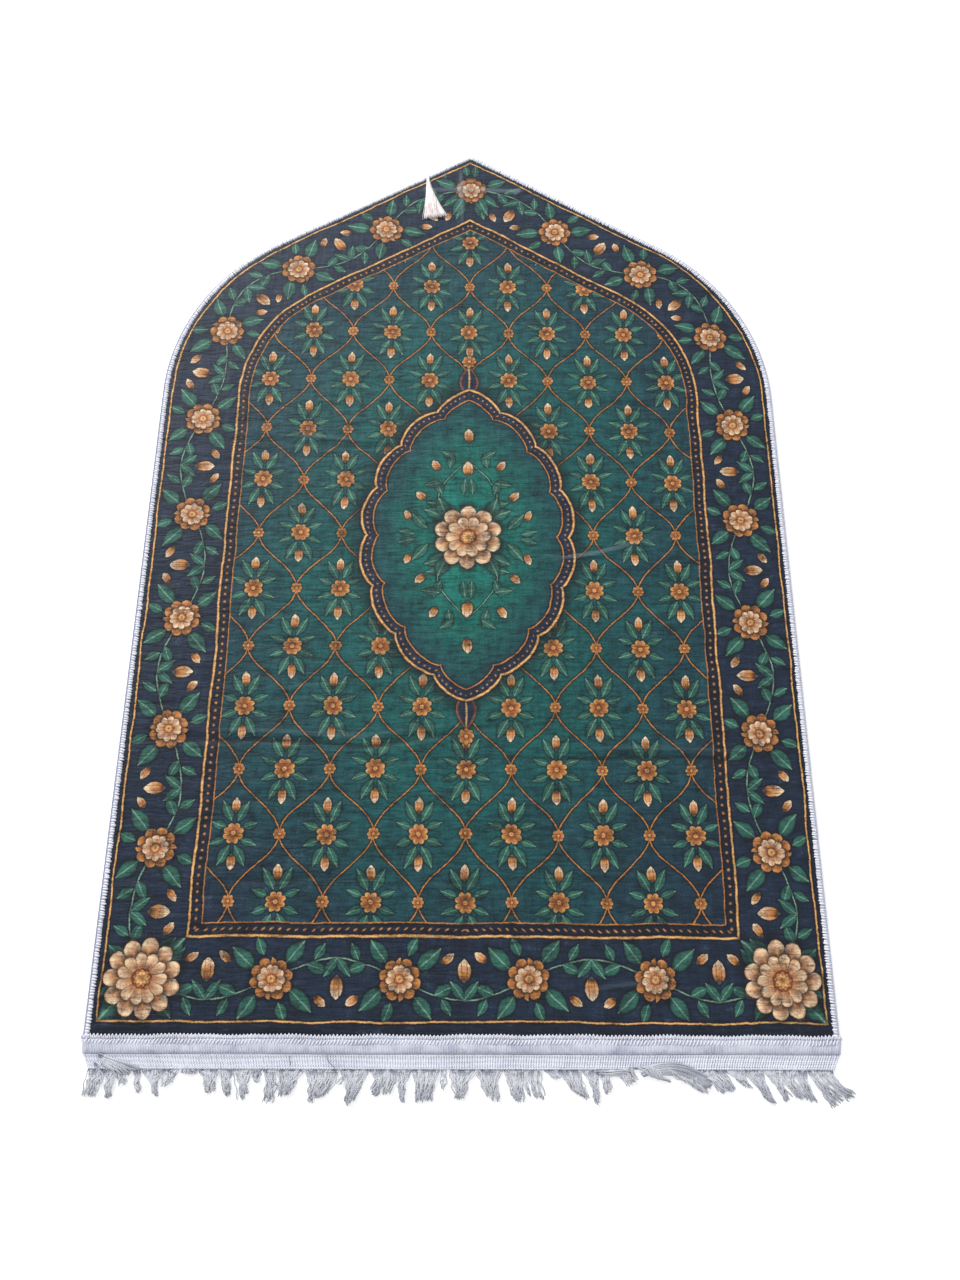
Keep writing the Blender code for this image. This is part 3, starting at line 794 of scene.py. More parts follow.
def ring_walls(index):
    """Faces of four corners between each ring of points and the next one, from the points' numbers."""
    here, there = index[..., :-1, :], index[..., 1:, :]
    return np.stack((here, there, np.roll(there, -1, -1), np.roll(here, -1, -1)), -1).reshape(-1, 4)


def make_tubes(name, lines, radii, sides=YARN_SIDES, upright=(0.0, 0.0, 1.0)):
    """Round yarns along lines of points, closed at both ends. Their UV map holds length run and turn."""
    lines, radii, upright = np.asarray(lines, float), np.asarray(radii, float), np.asarray(upright)
    count, steps = radii.shape
    ahead = np.gradient(lines, axis=1)
    ahead /= np.linalg.norm(ahead, axis=2, keepdims=True)
    up = upright - ahead * (ahead @ upright)[..., None]
    up /= np.linalg.norm(up, axis=2, keepdims=True)
    aside = np.cross(ahead, up)
    turns = np.arange(sides)[:, None] * 2.0 * math.pi / sides
    ring = aside[:, :, None] * np.cos(turns) + up[:, :, None] * np.sin(turns)
    points = (lines[:, :, None] + ring * radii[:, :, None, None]).reshape(-1, 3)

    index = np.arange(len(points)).reshape(count, steps, sides)
    walls = ring_walls(index)
    faces = walls.tolist() + index[:, 0].tolist() + index[:, -1, ::-1].tolist()
    mesh = bpy.data.meshes.new(name)
    mesh.from_pydata(points.tolist(), [], faces)

    run = np.zeros((count, steps))
    run[:, 1:] = np.cumsum(np.linalg.norm(np.diff(lines, axis=1), axis=2), axis=1)
    corner = np.concatenate([np.ravel(face) for face in (walls, index[:, 0], index[:, -1, ::-1])])
    turned = (corner % sides) / sides
    turned[2:walls.size:4] = (walls[:, 1] % sides + 1) / sides
    turned[3:walls.size:4] = (walls[:, 0] % sides + 1) / sides
    yarn_map = mesh.uv_layers.new(name="yarn")
    yarn_map.data.foreach_set("uv", np.column_stack((run.ravel()[corner // sides], turned)).ravel())
    mesh.shade_smooth()
    return placed(name, mesh)


def make_sewing():
    """Nodes that set one stitch along a line, turned with it, with a shake in each stitch's turn and size."""
    sewing = bpy.data.node_groups.new("sewing", "GeometryNodeTree")
    kinds = {
        "Line": "Geometry", "Stitch": "Object", "Pitch": "Float", "Turn Shake": "Float",
        "Size Shake": "Float", "Seed": "Int", "Yarn": "Material",
    }
    names = {}
    for name, kind in kinds.items():
        socket = sewing.interface.new_socket(name, in_out="INPUT", socket_type="NodeSocket" + kind)
        names[name] = socket.identifier
    sewing.interface.new_socket("Sewn", in_out="OUTPUT", socket_type="NodeSocketGeometry")

    def added(kind, inputs=(), output=0, **settings):
        return add_node(sewing, kind, inputs, **settings).outputs[output]

    given = add_node(sewing, "NodeGroupInput").outputs
    seed = given["Seed"]
    curve = added("GeometryNodeMeshToCurve", {"Mesh": given["Line"]})
    points = added("GeometryNodeResampleCurve", {"Curve": curve, "Length": given["Pitch"]}, mode="LENGTH")
    heading = added("GeometryNodeInputTangent")
    along_line = added("FunctionNodeAlignRotationToVector", {"Vector": heading}, axis="X", pivot_axis="Z")
    turn = added("FunctionNodeRandomValue", {2: -1.0, 3: 1.0, "Seed": seed}, 1, data_type="FLOAT")
    turn = added("ShaderNodeMath", (turn, given["Turn Shake"]), operation="MULTIPLY")
    own_turn = added("ShaderNodeCombineXYZ", {"Z": turn})
    turns = {"Rotation": along_line, "Rotate By": own_turn}
    turned = added("FunctionNodeRotateRotation", turns, rotation_space="LOCAL")
    limits = {0: (-1.0, -1.0, -1.0), 1: (1.0, 1.0, 1.0), "Seed": seed}
    size = added("FunctionNodeRandomValue", limits, data_type="FLOAT_VECTOR")
    size = added("ShaderNodeVectorMath", {0: size, "Scale": given["Size Shake"]}, operation="SCALE")
    size = added("ShaderNodeVectorMath", (size, (1.0, 1.0, 1.0)), operation="ADD")
    own = {"Object": given["Stitch"]}
    stitch = added("GeometryNodeObjectInfo", own, "Geometry", transform_space="ORIGINAL")
    sewn = {"Points": points, "Instance": stitch, "Rotation": turned, "Scale": size}
    real = added("GeometryNodeRealizeInstances", {"Geometry": added("GeometryNodeInstanceOnPoints", sewn)})
    coloured = added("GeometryNodeSetMaterial", {"Geometry": real, "Material": given["Yarn"]})
    add_node(sewing, "NodeGroupOutput", {"Sewn": coloured})
    return sewing, names


sewing, sewing_names = make_sewing()


def sew(name, line, stitch, pitch, yarn, seed, turn_shake_deg=4.0, size_shake=0.08):
    """Sews a stitch along a line of points, and keeps the result as one plain mesh."""
    path = bpy.data.meshes.new(name)
    path.from_pydata([tuple(point) for point in line], [(end - 1, end) for end in range(1, len(line))], [])
    piece = placed(name, path)
    nodes = piece.modifiers.new("sewing", "NODES")
    nodes.node_group = sewing
    settings = {
        "Stitch": stitch, "Pitch": pitch, "Turn Shake": math.radians(turn_shake_deg),
        "Size Shake": size_shake, "Seed": seed, "Yarn": yarn,
    }
    for setting, value in settings.items():
        nodes[sewing_names[setting]] = value
    bpy.context.view_layer.update()
    evaluated = piece.evaluated_get(bpy.context.evaluated_depsgraph_get())
    piece.data = bpy.data.meshes.new_from_object(evaluated)
    piece.modifiers.clear()
    bpy.data.objects.remove(stitch)
    return piece


def make_yarn(name, colour, shade, twist_height=0.00012, roughness=0.72, sheen=0.25, painted_shading=None):
    """Spun yarn: plies twisted round each other, and a soft change of colour from place to place.

    A painted shading, if given, lays shade or light onto it, from its place and from the length run along it.
    """
    material, shader, spot = new_material(name)
    yarn_map = add_node(spot.id_data, "ShaderNodeUVMap", uv_map="yarn")
    run, turned = parted(yarn_map.outputs["UV"])
    ply = (run * 2600.0 + turned * (4.0 * math.pi)).worked("SINE")
    fluff = cloudy(spot, 420.0, 3.0, 0.7)
    soil = cloudy(spot, 34.0, 2.0)
    tone = ply.scaled(0.16, 0.3) + fluff * 0.42 + soil.scaled(0.5, -0.2)
    ground = toned(tone, (0.12, shade), (0.62, colour))
    # Where given, painted shade and light are laid over the yarn's colour.
    if painted_shading:
        ground = painted_shading(ground, spot, run)
    fill(shader, {
        "Base Color": ground, "Roughness": roughness, "Specular IOR Level": 0.3, "Sheen Weight": sheen,
    })
    add_bump(shader, ply * 0.5 + fluff, twist_height)
    return material


def outline_points():
    """The rug's outer edge from the hem tape up the right side, over the apex and down to the tape again."""
    turns = np.linspace(0.0, roof_turn, 48)
    side_x = shoulder_x + SHOULDER_RADIUS * np.cos(turns)
    side_y = shoulder_y + SHOULDER_RADIUS * np.sin(turns)
    apex_turns = np.linspace(roof_turn, math.pi - roof_turn, 13)[1:-1]
    apex_points = zip(APEX_RADIUS * np.cos(apex_turns), apex_centre_y + APEX_RADIUS * np.sin(apex_turns))
    right = [(rug_half_width, hem_top_y + WRAP_PITCH / 2)] + list(zip(side_x, side_y))
    right.append((APEX_RADIUS * math.cos(roof_turn), apex_centre_y + APEX_RADIUS * math.sin(roof_turn)))
    left = [(-x, y) for x, y in reversed(right)]
    return [(float(x), float(y), 0.0) for x, y in (*right, *apex_points, *left)]


def make_wrap():
    """One wrap of yarn, seen along the edge: from under the cloth, round its rim and back in over it."""
    turns = np.radians((-90.0, -52.0, -15.0, 20.0, 55.0, 90.0))
    inward = [0.0046, *(0.0030 - 0.00192 * np.cos(turns)), 0.0048, 0.0068]
    height = [0.00105, *(0.0023 + 0.00125 * np.sin(turns)), 0.00350, 0.00285]
    lean = np.linspace(-0.0007, 0.0009, len(inward))
    line = np.column_stack((lean, inward, height))
    return make_tubes("wrap", [line], [[WRAP_RADIUS] * len(line)], upright=(1.0, 0.0, 0.0))


def make_rung():
    """One white stitch of the inner row, raised in its middle and biting into the pile at its end."""
    line = (
        (-0.0003, 0.0029, 0.0034), (-0.0002, 0.0036, 0.0041), (0.0, 0.0048, 0.0043), (0.0002, 0.0061, 0.0041),
        (0.0004, 0.0071, 0.0035), (0.0005, 0.0076, 0.0026),
    )
    radii = np.array((0.7, 1.0, 1.08, 1.05, 0.9, 0.6)) * RUNG_RADIUS
    return make_tubes("rung", [line], [radii], upright=(1.0, 0.0, 0.0))


def painted_rim_shade_and_roof_light(ground, spot, run):
    """Painted shade greys the edging's outer side along the rug's left side, and painted light makes its yarn
    paler along the roof.
    """
    across, up = parted(spot)
    # Painted shade on the outer side of the left wraps, then painted light along the roof.
    rim = run.scaled(-900.0, 6.1).worked("MINIMUM", across.scaled(-1.3, 0.48))
    ground = dyed(ground, dye(164, 166, 186), rim, "MULTIPLY")
    return dyed(ground, dye(233, 235, 243), up.scaled(6.0, -2.1))


edging_yarn = make_yarn("edging_yarn", EDGING_DYE, dye(152, 154, 176), painted_shading=painted_rim_shade_and_roof_light)
rung_yarn = make_yarn("rung_yarn", RUNG_DYE, dye(190, 193, 210))
outline = outline_points()
edging_wraps = sew("edging_wraps", outline, make_wrap(), WRAP_PITCH, edging_yarn, seed=3)
edging_stitches = sew(
    "edging_stitches", outline, make_rung(), RUNG_PITCH, rung_yarn, seed=4, turn_shake_deg=7.0
)
for piece in (edging_wraps, edging_stitches):
    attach(piece, "root")
    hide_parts("edge_binding")


# THE HEM TAPE
# A woven tape folded over the straight lower edge and rolled at its fold, with its two ends tucked in.
# Overlock teeth run along its upper edge, and slanted needle stitches below them hold it to the cloth.
TAPE_COLUMN = 0.0016
TAPE_END = 0.0045
TAPE_WAVE = 0.00045
TAPE_MIDDLE_Z = 0.0023
TAPE_DRAW = 0.003
RIB_PITCH = 0.0017
WEFT_PITCH = 0.0009
TOOTH_PITCH = 0.0039
TOOTH_RADIUS = 0.0005
TOOTH_BELOW_TOP = 0.0006
TOOTH_HEIGHT = 0.0046
TOOTH_INSET = 0.002
NEEDLE_PITCH = 0.0037
NEEDLE_RADIUS = 0.0006
SEAM_BELOW_TOP = 0.0032
NEEDLE_BELOW_TOP = 0.0062
NEEDLE_HEIGHT = 0.0050
NEEDLE_INSET = 0.006
TAPE_DYE = dye(216, 218, 230)

# The tape's section round its fold, in millimetres: how far above the fold, and how high off the floor.
TAPE_SECTION = (
    (18.0, 0.1), (12.0, 0.0), (6.0, 0.0), (2.2, 0.1), (0.6, 0.3), (0.1, 0.8), (0.0, 1.6), (0.1, 2.5),
    (0.4, 3.3), (1.0, 4.0), (2.0, 4.55), (3.4, 4.95), (5.2, 5.2), (8.0, 5.25), (10.0, 5.05), (12.0, 4.85),
    (13.5, 4.75), (14.2, 4.6), (14.8, 4.25), (15.4, 4.6), (16.2, 4.8), (17.1, 4.7), (17.8, 4.35), (18.1, 3.7),
    (18.1, 2.6), (18.05, 1.2),
)


def tape_wave(x):
    """How far the tape's upper edge wanders from straight."""
    return TAPE_WAVE * (np.sin(x * 61.0 + 0.7) + 0.6 * np.sin(x * 143.0 + 2.0) + 0.5 * np.sin(x * 17.0))


def make_hem_tape():
    """The folded tape as one closed skin, rounded off and a little swollen at its two ends."""
    section = np.array(TAPE_SECTION) * MILLIMETRE
    columns = round(2.0 * tape_half / TAPE_COLUMN)
    x = (np.linspace(-1.0, 1.0, columns + 1) * tape_half)[:, None]
    from_end = tape_half - np.abs(x)
    rounding = np.sqrt(np.clip(1.0 - (1.0 - np.clip(from_end / TAPE_END, 0.0, 1.0)) ** 2, 0.02, 1.0))
    above, height = section[:, 0][None], section[:, 1][None]
    draw = TAPE_DRAW * (1.0 - above / (hem_top_y - hem_fold_y))
    is_top = np.clip((height - 0.003) / 0.0015, 0.0, 1.0)
    swollen = 0.0006 * np.exp(-(((from_end - 0.0034) / 0.0018) ** 2))
    tucked = 0.0006 * np.exp(-(((from_end - 0.0080) / 0.0014) ** 2))
    soft = 0.00028 * (np.sin(x * 37.0 + above * 300.0) + 0.7 * np.sin(x * 91.0 + 1.1))
    z = height + is_top * (swollen - tucked + soft * np.clip(above / 0.006, 0.0, 1.0))
    z = TAPE_MIDDLE_Z + (z - TAPE_MIDDLE_Z) * rounding
    y = hem_fold_y + above + tape_wave(x) * (above / 0.018) ** 2 + 0.0003 * np.sin(x * 23.0 + 1.0)
    points = np.stack(np.broadcast_arrays(x - np.sign(x) * draw, y, z), -1).reshape(-1, 3)

    index = np.arange(len(points)).reshape(columns + 1, len(section))
    mesh = bpy.data.meshes.new("hem_tape")
    faces = ring_walls(index).tolist() + [index[0].tolist(), index[-1, ::-1].tolist()]
    mesh.from_pydata(points.tolist(), [], faces)
    mesh.shade_smooth()
    return placed("hem_tape", mesh)


def make_tape_weave():
    """Woven tape: fine upright ribs, a crossing weft, painted shade towards its fold, and a shaded seam line
    below the overlock teeth.
    """
    material, shader, spot = new_material("hem_tape")
    across, up = parted(spot)
    sway = cloudy(spot, 60.0, 2.0)
    rib = (across * (2.0 * math.pi / RIB_PITCH) + sway * 3.0).worked("SINE")
    weft = (up * (2.0 * math.pi / WEFT_PITCH) + sway * 5.0).worked("SINE")
    slub = cloudy(stretched(spot, 1.0, 0.16), 900.0, 2.0, 0.6)
    tone = rib.scaled(0.21, 0.30) + weft * 0.07 + slub * 0.7 + sway.scaled(0.8, -0.40)
    ground = toned(tone, (0.28, dye(146, 150, 174)), (0.86, TAPE_DYE))
    # Painted shade: the tape darkens a little towards its fold, where the groove above the heading lies in
    # shade.
    fold_groove_shade = (up - hem_fold_y).scaled(-230.0, 1.0)
    ground = dyed(ground, dye(242, 243, 248), fold_groove_shade, "MULTIPLY")
    seam = abs(up - (hem_top_y - SEAM_BELOW_TOP)).scaled(-1700.0, 1.0)
    ground = dyed(ground, dye(120, 124, 150), seam, "MULTIPLY")
    fill(shader, {"Base Color": ground, "Roughness": 0.76, "Specular IOR Level": 0.3, "Sheen Weight": 0.2})
    add_bump(shader, rib.scaled(0.32, 0.0) + weft * 0.12 + slub * 0.8, 0.00022)
    return material


def tape_line(below_top, height, half):
    """A line along the tape that follows its wandering upper edge, from its left end to its right one."""
    x = np.linspace(-half, half, 260)
    return np.column_stack((x, hem_top_y - below_top + tape_wave(x), np.full(x.shape, height))).tolist()


def make_tooth():
    """One overlock loop that bites over the tape's upper edge."""
    line = (
        (-0.0012, -0.0030, -0.0001), (-0.0008, -0.0006, 0.0004), (-0.0005, 0.0012, 0.0002),
        (0.0, 0.0019, -0.0002), (0.0005, 0.0012, 0.0002), (0.0010, -0.0006, 0.0004),
        (0.0018, -0.0030, -0.0001),
    )
    return make_tubes("tooth", [line], [[TOOTH_RADIUS] * len(line)])


def make_needle_stitch():
    line = (
        (-0.0012, -0.0026, -0.0003), (-0.0008, -0.0014, 0.0003), (0.0, 0.0, 0.0005), (0.0008, 0.0015, 0.0003),
        (0.0012, 0.0026, -0.0003),
    )
    return make_tubes("needle_stitch", [line], [[NEEDLE_RADIUS] * len(line)])


tape_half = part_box("hem_band")[1].x
tape_weave = make_tape_weave()
hem_tape = make_hem_tape()
hem_tape.data.materials.append(tape_weave)
teeth_line = tape_line(TOOTH_BELOW_TOP, TOOTH_HEIGHT, tape_half - TOOTH_INSET)
hem_teeth = sew("hem_teeth", teeth_line, make_tooth(), TOOTH_PITCH, rung_yarn, seed=5, turn_shake_deg=7.0)
needle_line = tape_line(NEEDLE_BELOW_TOP, NEEDLE_HEIGHT, tape_half - NEEDLE_INSET)
hem_needlework = sew(
    "hem_needlework", needle_line, make_needle_stitch(), NEEDLE_PITCH, rung_yarn, seed=6, turn_shake_deg=10.0,
    size_shake=0.16,
)
for piece in (hem_tape, hem_teeth, hem_needlework):
    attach(piece, "root")
    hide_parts("hem_band")


# THE FRINGE
# A woven heading of upright cords with a row of fine cotton stitches at its top and its foot, and the cut
# cotton yarns that hang from it. They lie on the floor in locks that lean, spread and curl as in the photo.
CORD_PITCH = 0.0027
CORD_RADIUS = 0.00138
CORD_STEPS = 14
HEADING_LIFT = 0.0008
YARN_STEPS = 16
YARN_RADIUS = 0.00076
YARNS_A_STRAND = 4
CLUMP_WIDE = 19.0
SWEPT_FROM = 158.0
SWEPT_TO = 220.0
SWEPT_RISE = 6.5
HAIR_STEPS = 8
HAIR_RADIUS = 0.00016
HEADING_HALF_TOP = 0.396
HEADING_HALF_BOTTOM = 0.3895
HEADING_DEPTH = 0.0145
STRAND_PITCH = 3.9
FULL_REACH = 30.0
LEAN_POWER = 1.2
COTTON_DYE = dye(228, 230, 241)
FRINGE_DYE = dye(214, 216, 223)
HEADING_GAP = 0.0003
CROSSING_RADIUS = 0.00055
STRAY_RADIUS = 0.0008
THREAD_RADIUS = 0.00028
STRAY_HEIGHT = 0.0010
HEADING_BELOW_STRAYS = 0.0019
TOP_ROW_DOWN = 0.0008
TOP_ROW_HEIGHT = 0.0023
FOOT_ROW_UP = 0.0010
FOOT_ROW_HEIGHT = 0.0024
FULL_TURN = 6.28
heading_top_y = hem_fold_y - HEADING_GAP
heading_foot_y = heading_top_y - HEADING_DEPTH

# Locks of the fringe, left to right, in millimetres. "lean" is how far a yarn would drift sideways by
# FULL_REACH below the heading, and "reach" is where it is cut.
LOCK_COLUMNS = ("root_from", "root_to", "lean_from", "lean_to", "reach_from", "reach_to")
LOCKS = (
    (-388, -374, -6, -4, 25, 27), (-370, -358, 0, -2, 28, 26), (-354, -346, 0, -5, 18, 15),
    (-342, -338, 6, 6, 25, 23), (-333, -298, 15, -12, 28, 14), (-294, -278, -6, 4, 4, 5),
    (-274, -257, 2, 4, 26, 23), (-253, -242, 7, 4, 28, 26), (-238, -222, 5, 0, 31, 25),
    (-218, -212, 1, -3, 13, 12), (-208, -198, -1, -3, 30, 32), (-194, -168, 2, -16, 26, 24),
    (-164, -132, 2, -18, 31, 29), (-128, -128, -8, -8, 15, 15), (-123, -101, 0, -13, 34, 29),
    (-97, -87, -6, -8, 24, 26), (-83, -71, -4, -8, 24, 22), (-67, -56, 1, -3, 31, 33),
    (-52, -26, 1, -6, 31, 32), (-21, -21, -2, -2, 21, 21), (-12, 11, 5, -8, 30, 28),
    (15, 40, 10, 2, 24, 31), (44, 60, 7, 3, 30, 32), (64, 80, 6, 7, 28, 30), (85, 94, 34, 28, 8, 9),
    (99, 121, 22, 10, 25, 31), (125, 138, 8, 4, 33, 30), (142, 154, 4, 3, 25, 22), (158, 173, 20, 58, 17, 8),
    (178, 216, 105, 70, 9, 15), (220, 243, 38, 25, 21, 24), (248, 272, 26, 26, 25, 20),
    (276, 289, 30, 24, 15, 19), (294, 313, 21, 14, 32, 34), (317, 331, 15, 13, 31, 27),
    (335, 360, 19, 9, 29, 31), (364, 387, 14, 43, 36, 23),
)

# Yarns and grey thread ends that lie over the heading: how many, and the two lines that they lie between, as
# points in millimetres from the middle of the rug and down from the tape's fold.
STRAY_YARNS = (
    (15, ((-380, 1), (-362, 5), (-346, 10), (-333, 15)), ((-381, 3), (-374, 10), (-366, 17), (-358, 24))),
    (3, ((-384, 8), (-380, 14), (-379, 22), (-380, 28)), ((-383, 9), (-376, 16), (-373, 24), (-374, 29))),
    (24, ((186, 18), (200, 10), (219, 8), (242, 14), (260, 25)),
     ((188, 21), (205, 19), (224, 20), (243, 26), (258, 36))),
    (7, ((140, 17), (152, 15), (166, 15), (178, 18)), ((142, 20), (154, 22), (166, 22), (176, 23))),
)
STRAY_THREADS = (
    (1, ((-181.5, 2), (-182, 5), (-180.8, 8), (-181, 11)), ((-181.5, 2), (-182, 5), (-180.8, 8), (-181, 11))),
    (1, ((-143, 1), (-142, 6), (-137, 11), (-132, 17)), ((-143, 1), (-142, 6), (-137, 11), (-132, 17))),
)
STRAY_STEPS = 16


def heading_lift(down):
    """How far the heading rises to the tape's fold, from its top at 0 to its foot at 1."""
    return HEADING_LIFT * (1.0 - np.clip(down, 0.0, 1.0)) ** 8


def make_heading():
    """The heading's cords side by side. They draw in a little towards its foot."""
    count = round(2.0 * HEADING_HALF_TOP / CORD_PITCH)
    tops = np.linspace(-HEADING_HALF_TOP, HEADING_HALF_TOP, count)[:, None]
    down = np.linspace(0.0, 1.0, CORD_STEPS)[None]
    narrowing = HEADING_HALF_BOTTOM / HEADING_HALF_TOP
    chance = np.random.default_rng(11)
    sway = chance.uniform(-0.0003, 0.0003, (count, 1)) * np.sin(down * 6.0 + tops * 50.0)
    x = tops * (1.0 + (narrowing - 1.0) * down) + sway
    y = heading_top_y - HEADING_DEPTH * down + chance.uniform(-0.0005, 0.0003, (count, 1)) * down
    z = CORD_RADIUS + heading_lift(down) + chance.uniform(-0.0001, 0.0003, (count, 1))
    radii = CORD_RADIUS * (1.0 + 0.10 * np.sin(down * 19.0 + 1.4 * np.sin(tops * 30.0))) * np.ones_like(x)
    return make_tubes("heading_cords", np.stack((x, y, z), -1), radii)


def make_crossing():
    """One small stitch of the rows that bind the heading."""
    line = (
        (-0.0012, -0.0005, -0.0002), (-0.0006, -0.0003, 0.0002), (0.0, 0.0, 0.0003), (0.0006, 0.0003, 0.0002),
        (0.0012, 0.0005, -0.0002),
    )
    return make_tubes("crossing", [line], [[CROSSING_RADIUS] * len(line)])


def lock_yarns(lock, chance):
    """The yarns of one lock: where each starts, drifts to and is cut, and how its clump draws it in."""
    wide = lock["root_to"] - lock["root_from"]
    count = (round(wide / STRAND_PITCH) + 1) * YARNS_A_STRAND
    share = (np.arange(count) + 0.5) / count
    full = wide + STRAND_PITCH
    clumps = max(round(full / CLUMP_WIDE), 1)
    uneven = share + 0.3 / clumps * np.sin(math.pi * share * clumps + chance.uniform(0.0, FULL_TURN))
    uneven = uneven + chance.normal(0.0, 0.02, count)
    clump = np.minimum(uneven * clumps, clumps - 0.01).clip(0.0).astype(int)
    middle = (np.arange(clumps) + chance.uniform(0.3, 0.7, clumps)) / clumps
    root = lock["root_from"] - STRAND_PITCH / 2 + full * share + chance.normal(0.0, 0.35, count)
    lean = lock["lean_from"] + (lock["lean_to"] - lock["lean_from"]) * share
    reach = lock["reach_from"] + (lock["reach_to"] - lock["reach_from"]) * share
    reach = reach * chance.uniform(0.94, 1.05, clumps)[clump] * chance.uniform(0.84, 1.0, count)
    pull = full * (middle[clump] - share) * chance.uniform(0.20, 0.64, clumps)[clump]
    pull = pull + chance.normal(0.0, 1.1, count)
    bend = chance.normal(0.0, 2.0, clumps)[clump] + chance.normal(0.0, 0.8, count)
    wave_turn = chance.uniform(0.0, FULL_TURN, count)
    wave = chance.uniform(0.4, 1.4, count)
    twist_turn = chance.uniform(0.0, FULL_TURN, count)
    return np.column_stack((root, lean, reach, pull, bend, wave_turn, wave, twist_turn))


def make_fringe():
    """Every yarn of the fringe, from inside the heading's foot to its cut end."""
    chance = np.random.default_rng(7)
    yarns = np.concatenate([lock_yarns(dict(zip(LOCK_COLUMNS, row)), chance) for row in LOCKS])
    root, lean, reach, pull, bend, wave_turn, wave, twist_turn = (column[:, None] for column in yarns.T)
    share = np.linspace(0.0, 1.0, YARN_STEPS)[None]
    below = reach * share
    drift = (below / FULL_REACH) ** LEAN_POWER
    gathered = smooth_step(share, 0.0, 0.62)
    free = smooth_step(share, 0.02, 0.45)
    bowed = bend * np.sin(share * math.pi) * 1.2 + 0.9 * bend * share**3
    waved = wave * free * np.sin(below * 0.52 + wave_turn) + 0.3 * free * np.sin(below * 1.4 + twist_turn)
    x = root + lean * drift + pull * gathered + bowed + waved
    y = heading_foot_y / MILLIMETRE - below + 0.5 * free * np.sin(below * 0.7 + twist_turn)
    y[:, 0] = heading_foot_y / MILLIMETRE + 2.0
    heaped = (1.0 + np.sin(below * 0.17 + twist_turn)) * (0.35 + 0.75 * free)
    z = 0.86 + heaped + 0.2 * free * np.sin(below * 0.9 + wave_turn)
    swept = np.sin(math.pi * np.clip((root - SWEPT_FROM) / (SWEPT_TO - SWEPT_FROM), 0.0, 1.0))
    arch = swept * np.sin(math.pi * np.minimum(share * 1.3, 1.0))
    y = y + SWEPT_RISE * arch
    z = z + 1.5 * arch**0.5
    radii = YARN_RADIUS * (1.0 - 0.08 * share) * (1.0 + 0.08 * np.sin(below * 2.3 + wave_turn))
    radii[:, -1] *= 0.6
    lines = np.stack((x, y, z), -1) * MILLIMETRE
    return make_tubes("fringe_yarns", lines, radii), lines


def make_strays(name, fans, radius):
    """Yarns or threads that strayed over the heading, each curved softly between the two lines of its fan."""
    chance = np.random.default_rng(14)
    lines = []
    for count, near, far in fans:
        for place in (np.arange(count) + 0.5) / count:
            guide = np.array(near) * (1.0 - place) + np.array(far) * place
            share = np.linspace(0.0, 1.0, STRAY_STEPS) * chance.uniform(0.9, 1.0)
            curves = np.polyfit(np.linspace(0.0, 1.0, len(guide)), guide, 3).T
            x, below = (np.polyval(curve, share) * MILLIMETRE for curve in curves)
            loose = radius * min(count - 1, 1)
            x = x + loose * np.sin(share * 11.0 + chance.uniform(0.0, FULL_TURN))
            below = below + loose * np.sin(share * 8.0 + chance.uniform(0.0, FULL_TURN))
            on_heading = 1.0 - smooth_step(below, HEADING_DEPTH - 0.001, HEADING_DEPTH + 0.006)
            z = STRAY_HEIGHT + HEADING_BELOW_STRAYS * on_heading + heading_lift(below / HEADING_DEPTH)
            z = z + radius + loose * chance.uniform(0.0, 1.4)
            lines.append(np.column_stack((x, hem_fold_y - below, z)))
    radii = np.full((len(lines), STRAY_STEPS), radius)
    return make_tubes(name, lines, radii)


def make_hairs(lines):
    """Loose fibres that part from the yarns and stand out past their cut ends."""
    chance = np.random.default_rng(12)
    count = len(lines)
    along = np.linspace(0.35, 1.0, HAIR_STEPS) * (YARN_STEPS - 1)
    whole = np.minimum(along.astype(int), YARN_STEPS - 2)
    part = (along - whole)[None, :, None]
    spine = lines[:, whole] * (1.0 - part) + lines[:, whole + 1] * part
    share = np.linspace(0.0, 1.0, HAIR_STEPS)[None]
    away = chance.normal(0.0, 0.0017, (count, 1)) * share**1.4
    past = chance.uniform(0.0, 0.0018, (count, 1)) * share**3
    rise = chance.uniform(0.0002, 0.0010, (count, 1)) * np.sin(share * 2.6)
    spine = spine + np.stack((away, -past, rise), -1)
    radii = HAIR_RADIUS * (1.0 - 0.5 * share) * np.ones((count, 1))
    return make_tubes("fringe_hairs", spine, radii, sides=3)


def root_shade_and_grey_ends(ground, spot, run):
    """Painted shade darkens the yarns here and there where they leave the heading, and they turn grey towards
    their cut ends.
    """
    # Painted shade in noisy patches at the roots, where the yarns crowd under the heading.
    gaps = cloudy(spot, 240.0, 1.0).scaled(7.0, -3.2)
    ground = dyed(ground, dye(140, 144, 162), run.scaled(-110.0, 1.2).worked("MINIMUM", gaps), "MULTIPLY")
    return dyed(ground, dye(208, 211, 217), run.scaled(45.0, -0.7), "MULTIPLY")


cotton = make_yarn("fringe_cotton", COTTON_DYE, dye(136, 140, 164))
loose_cotton = make_yarn("loose_cotton", FRINGE_DYE, dye(130, 135, 150), 0.00016, 0.82, 0.3, root_shade_and_grey_ends)
grey_thread = make_yarn("grey_thread", dye(132, 134, 148), dye(96, 98, 112))
heading_cords = make_heading()
top_row = [
    (side * HEADING_HALF_TOP, heading_top_y - TOP_ROW_DOWN, TOP_ROW_HEIGHT) for side in (-1, 1)
]
foot_row = [
    (side * HEADING_HALF_BOTTOM, heading_foot_y + FOOT_ROW_UP, FOOT_ROW_HEIGHT) for side in (-1, 1)
]
heading_top_row = sew("heading_top_row", top_row, make_crossing(), CORD_PITCH, cotton, seed=8)
heading_foot_row = sew("heading_foot_row", foot_row, make_crossing(), CORD_PITCH, cotton, seed=9)
fringe_yarns, yarn_lines = make_fringe()
fringe_hairs = make_hairs(yarn_lines)
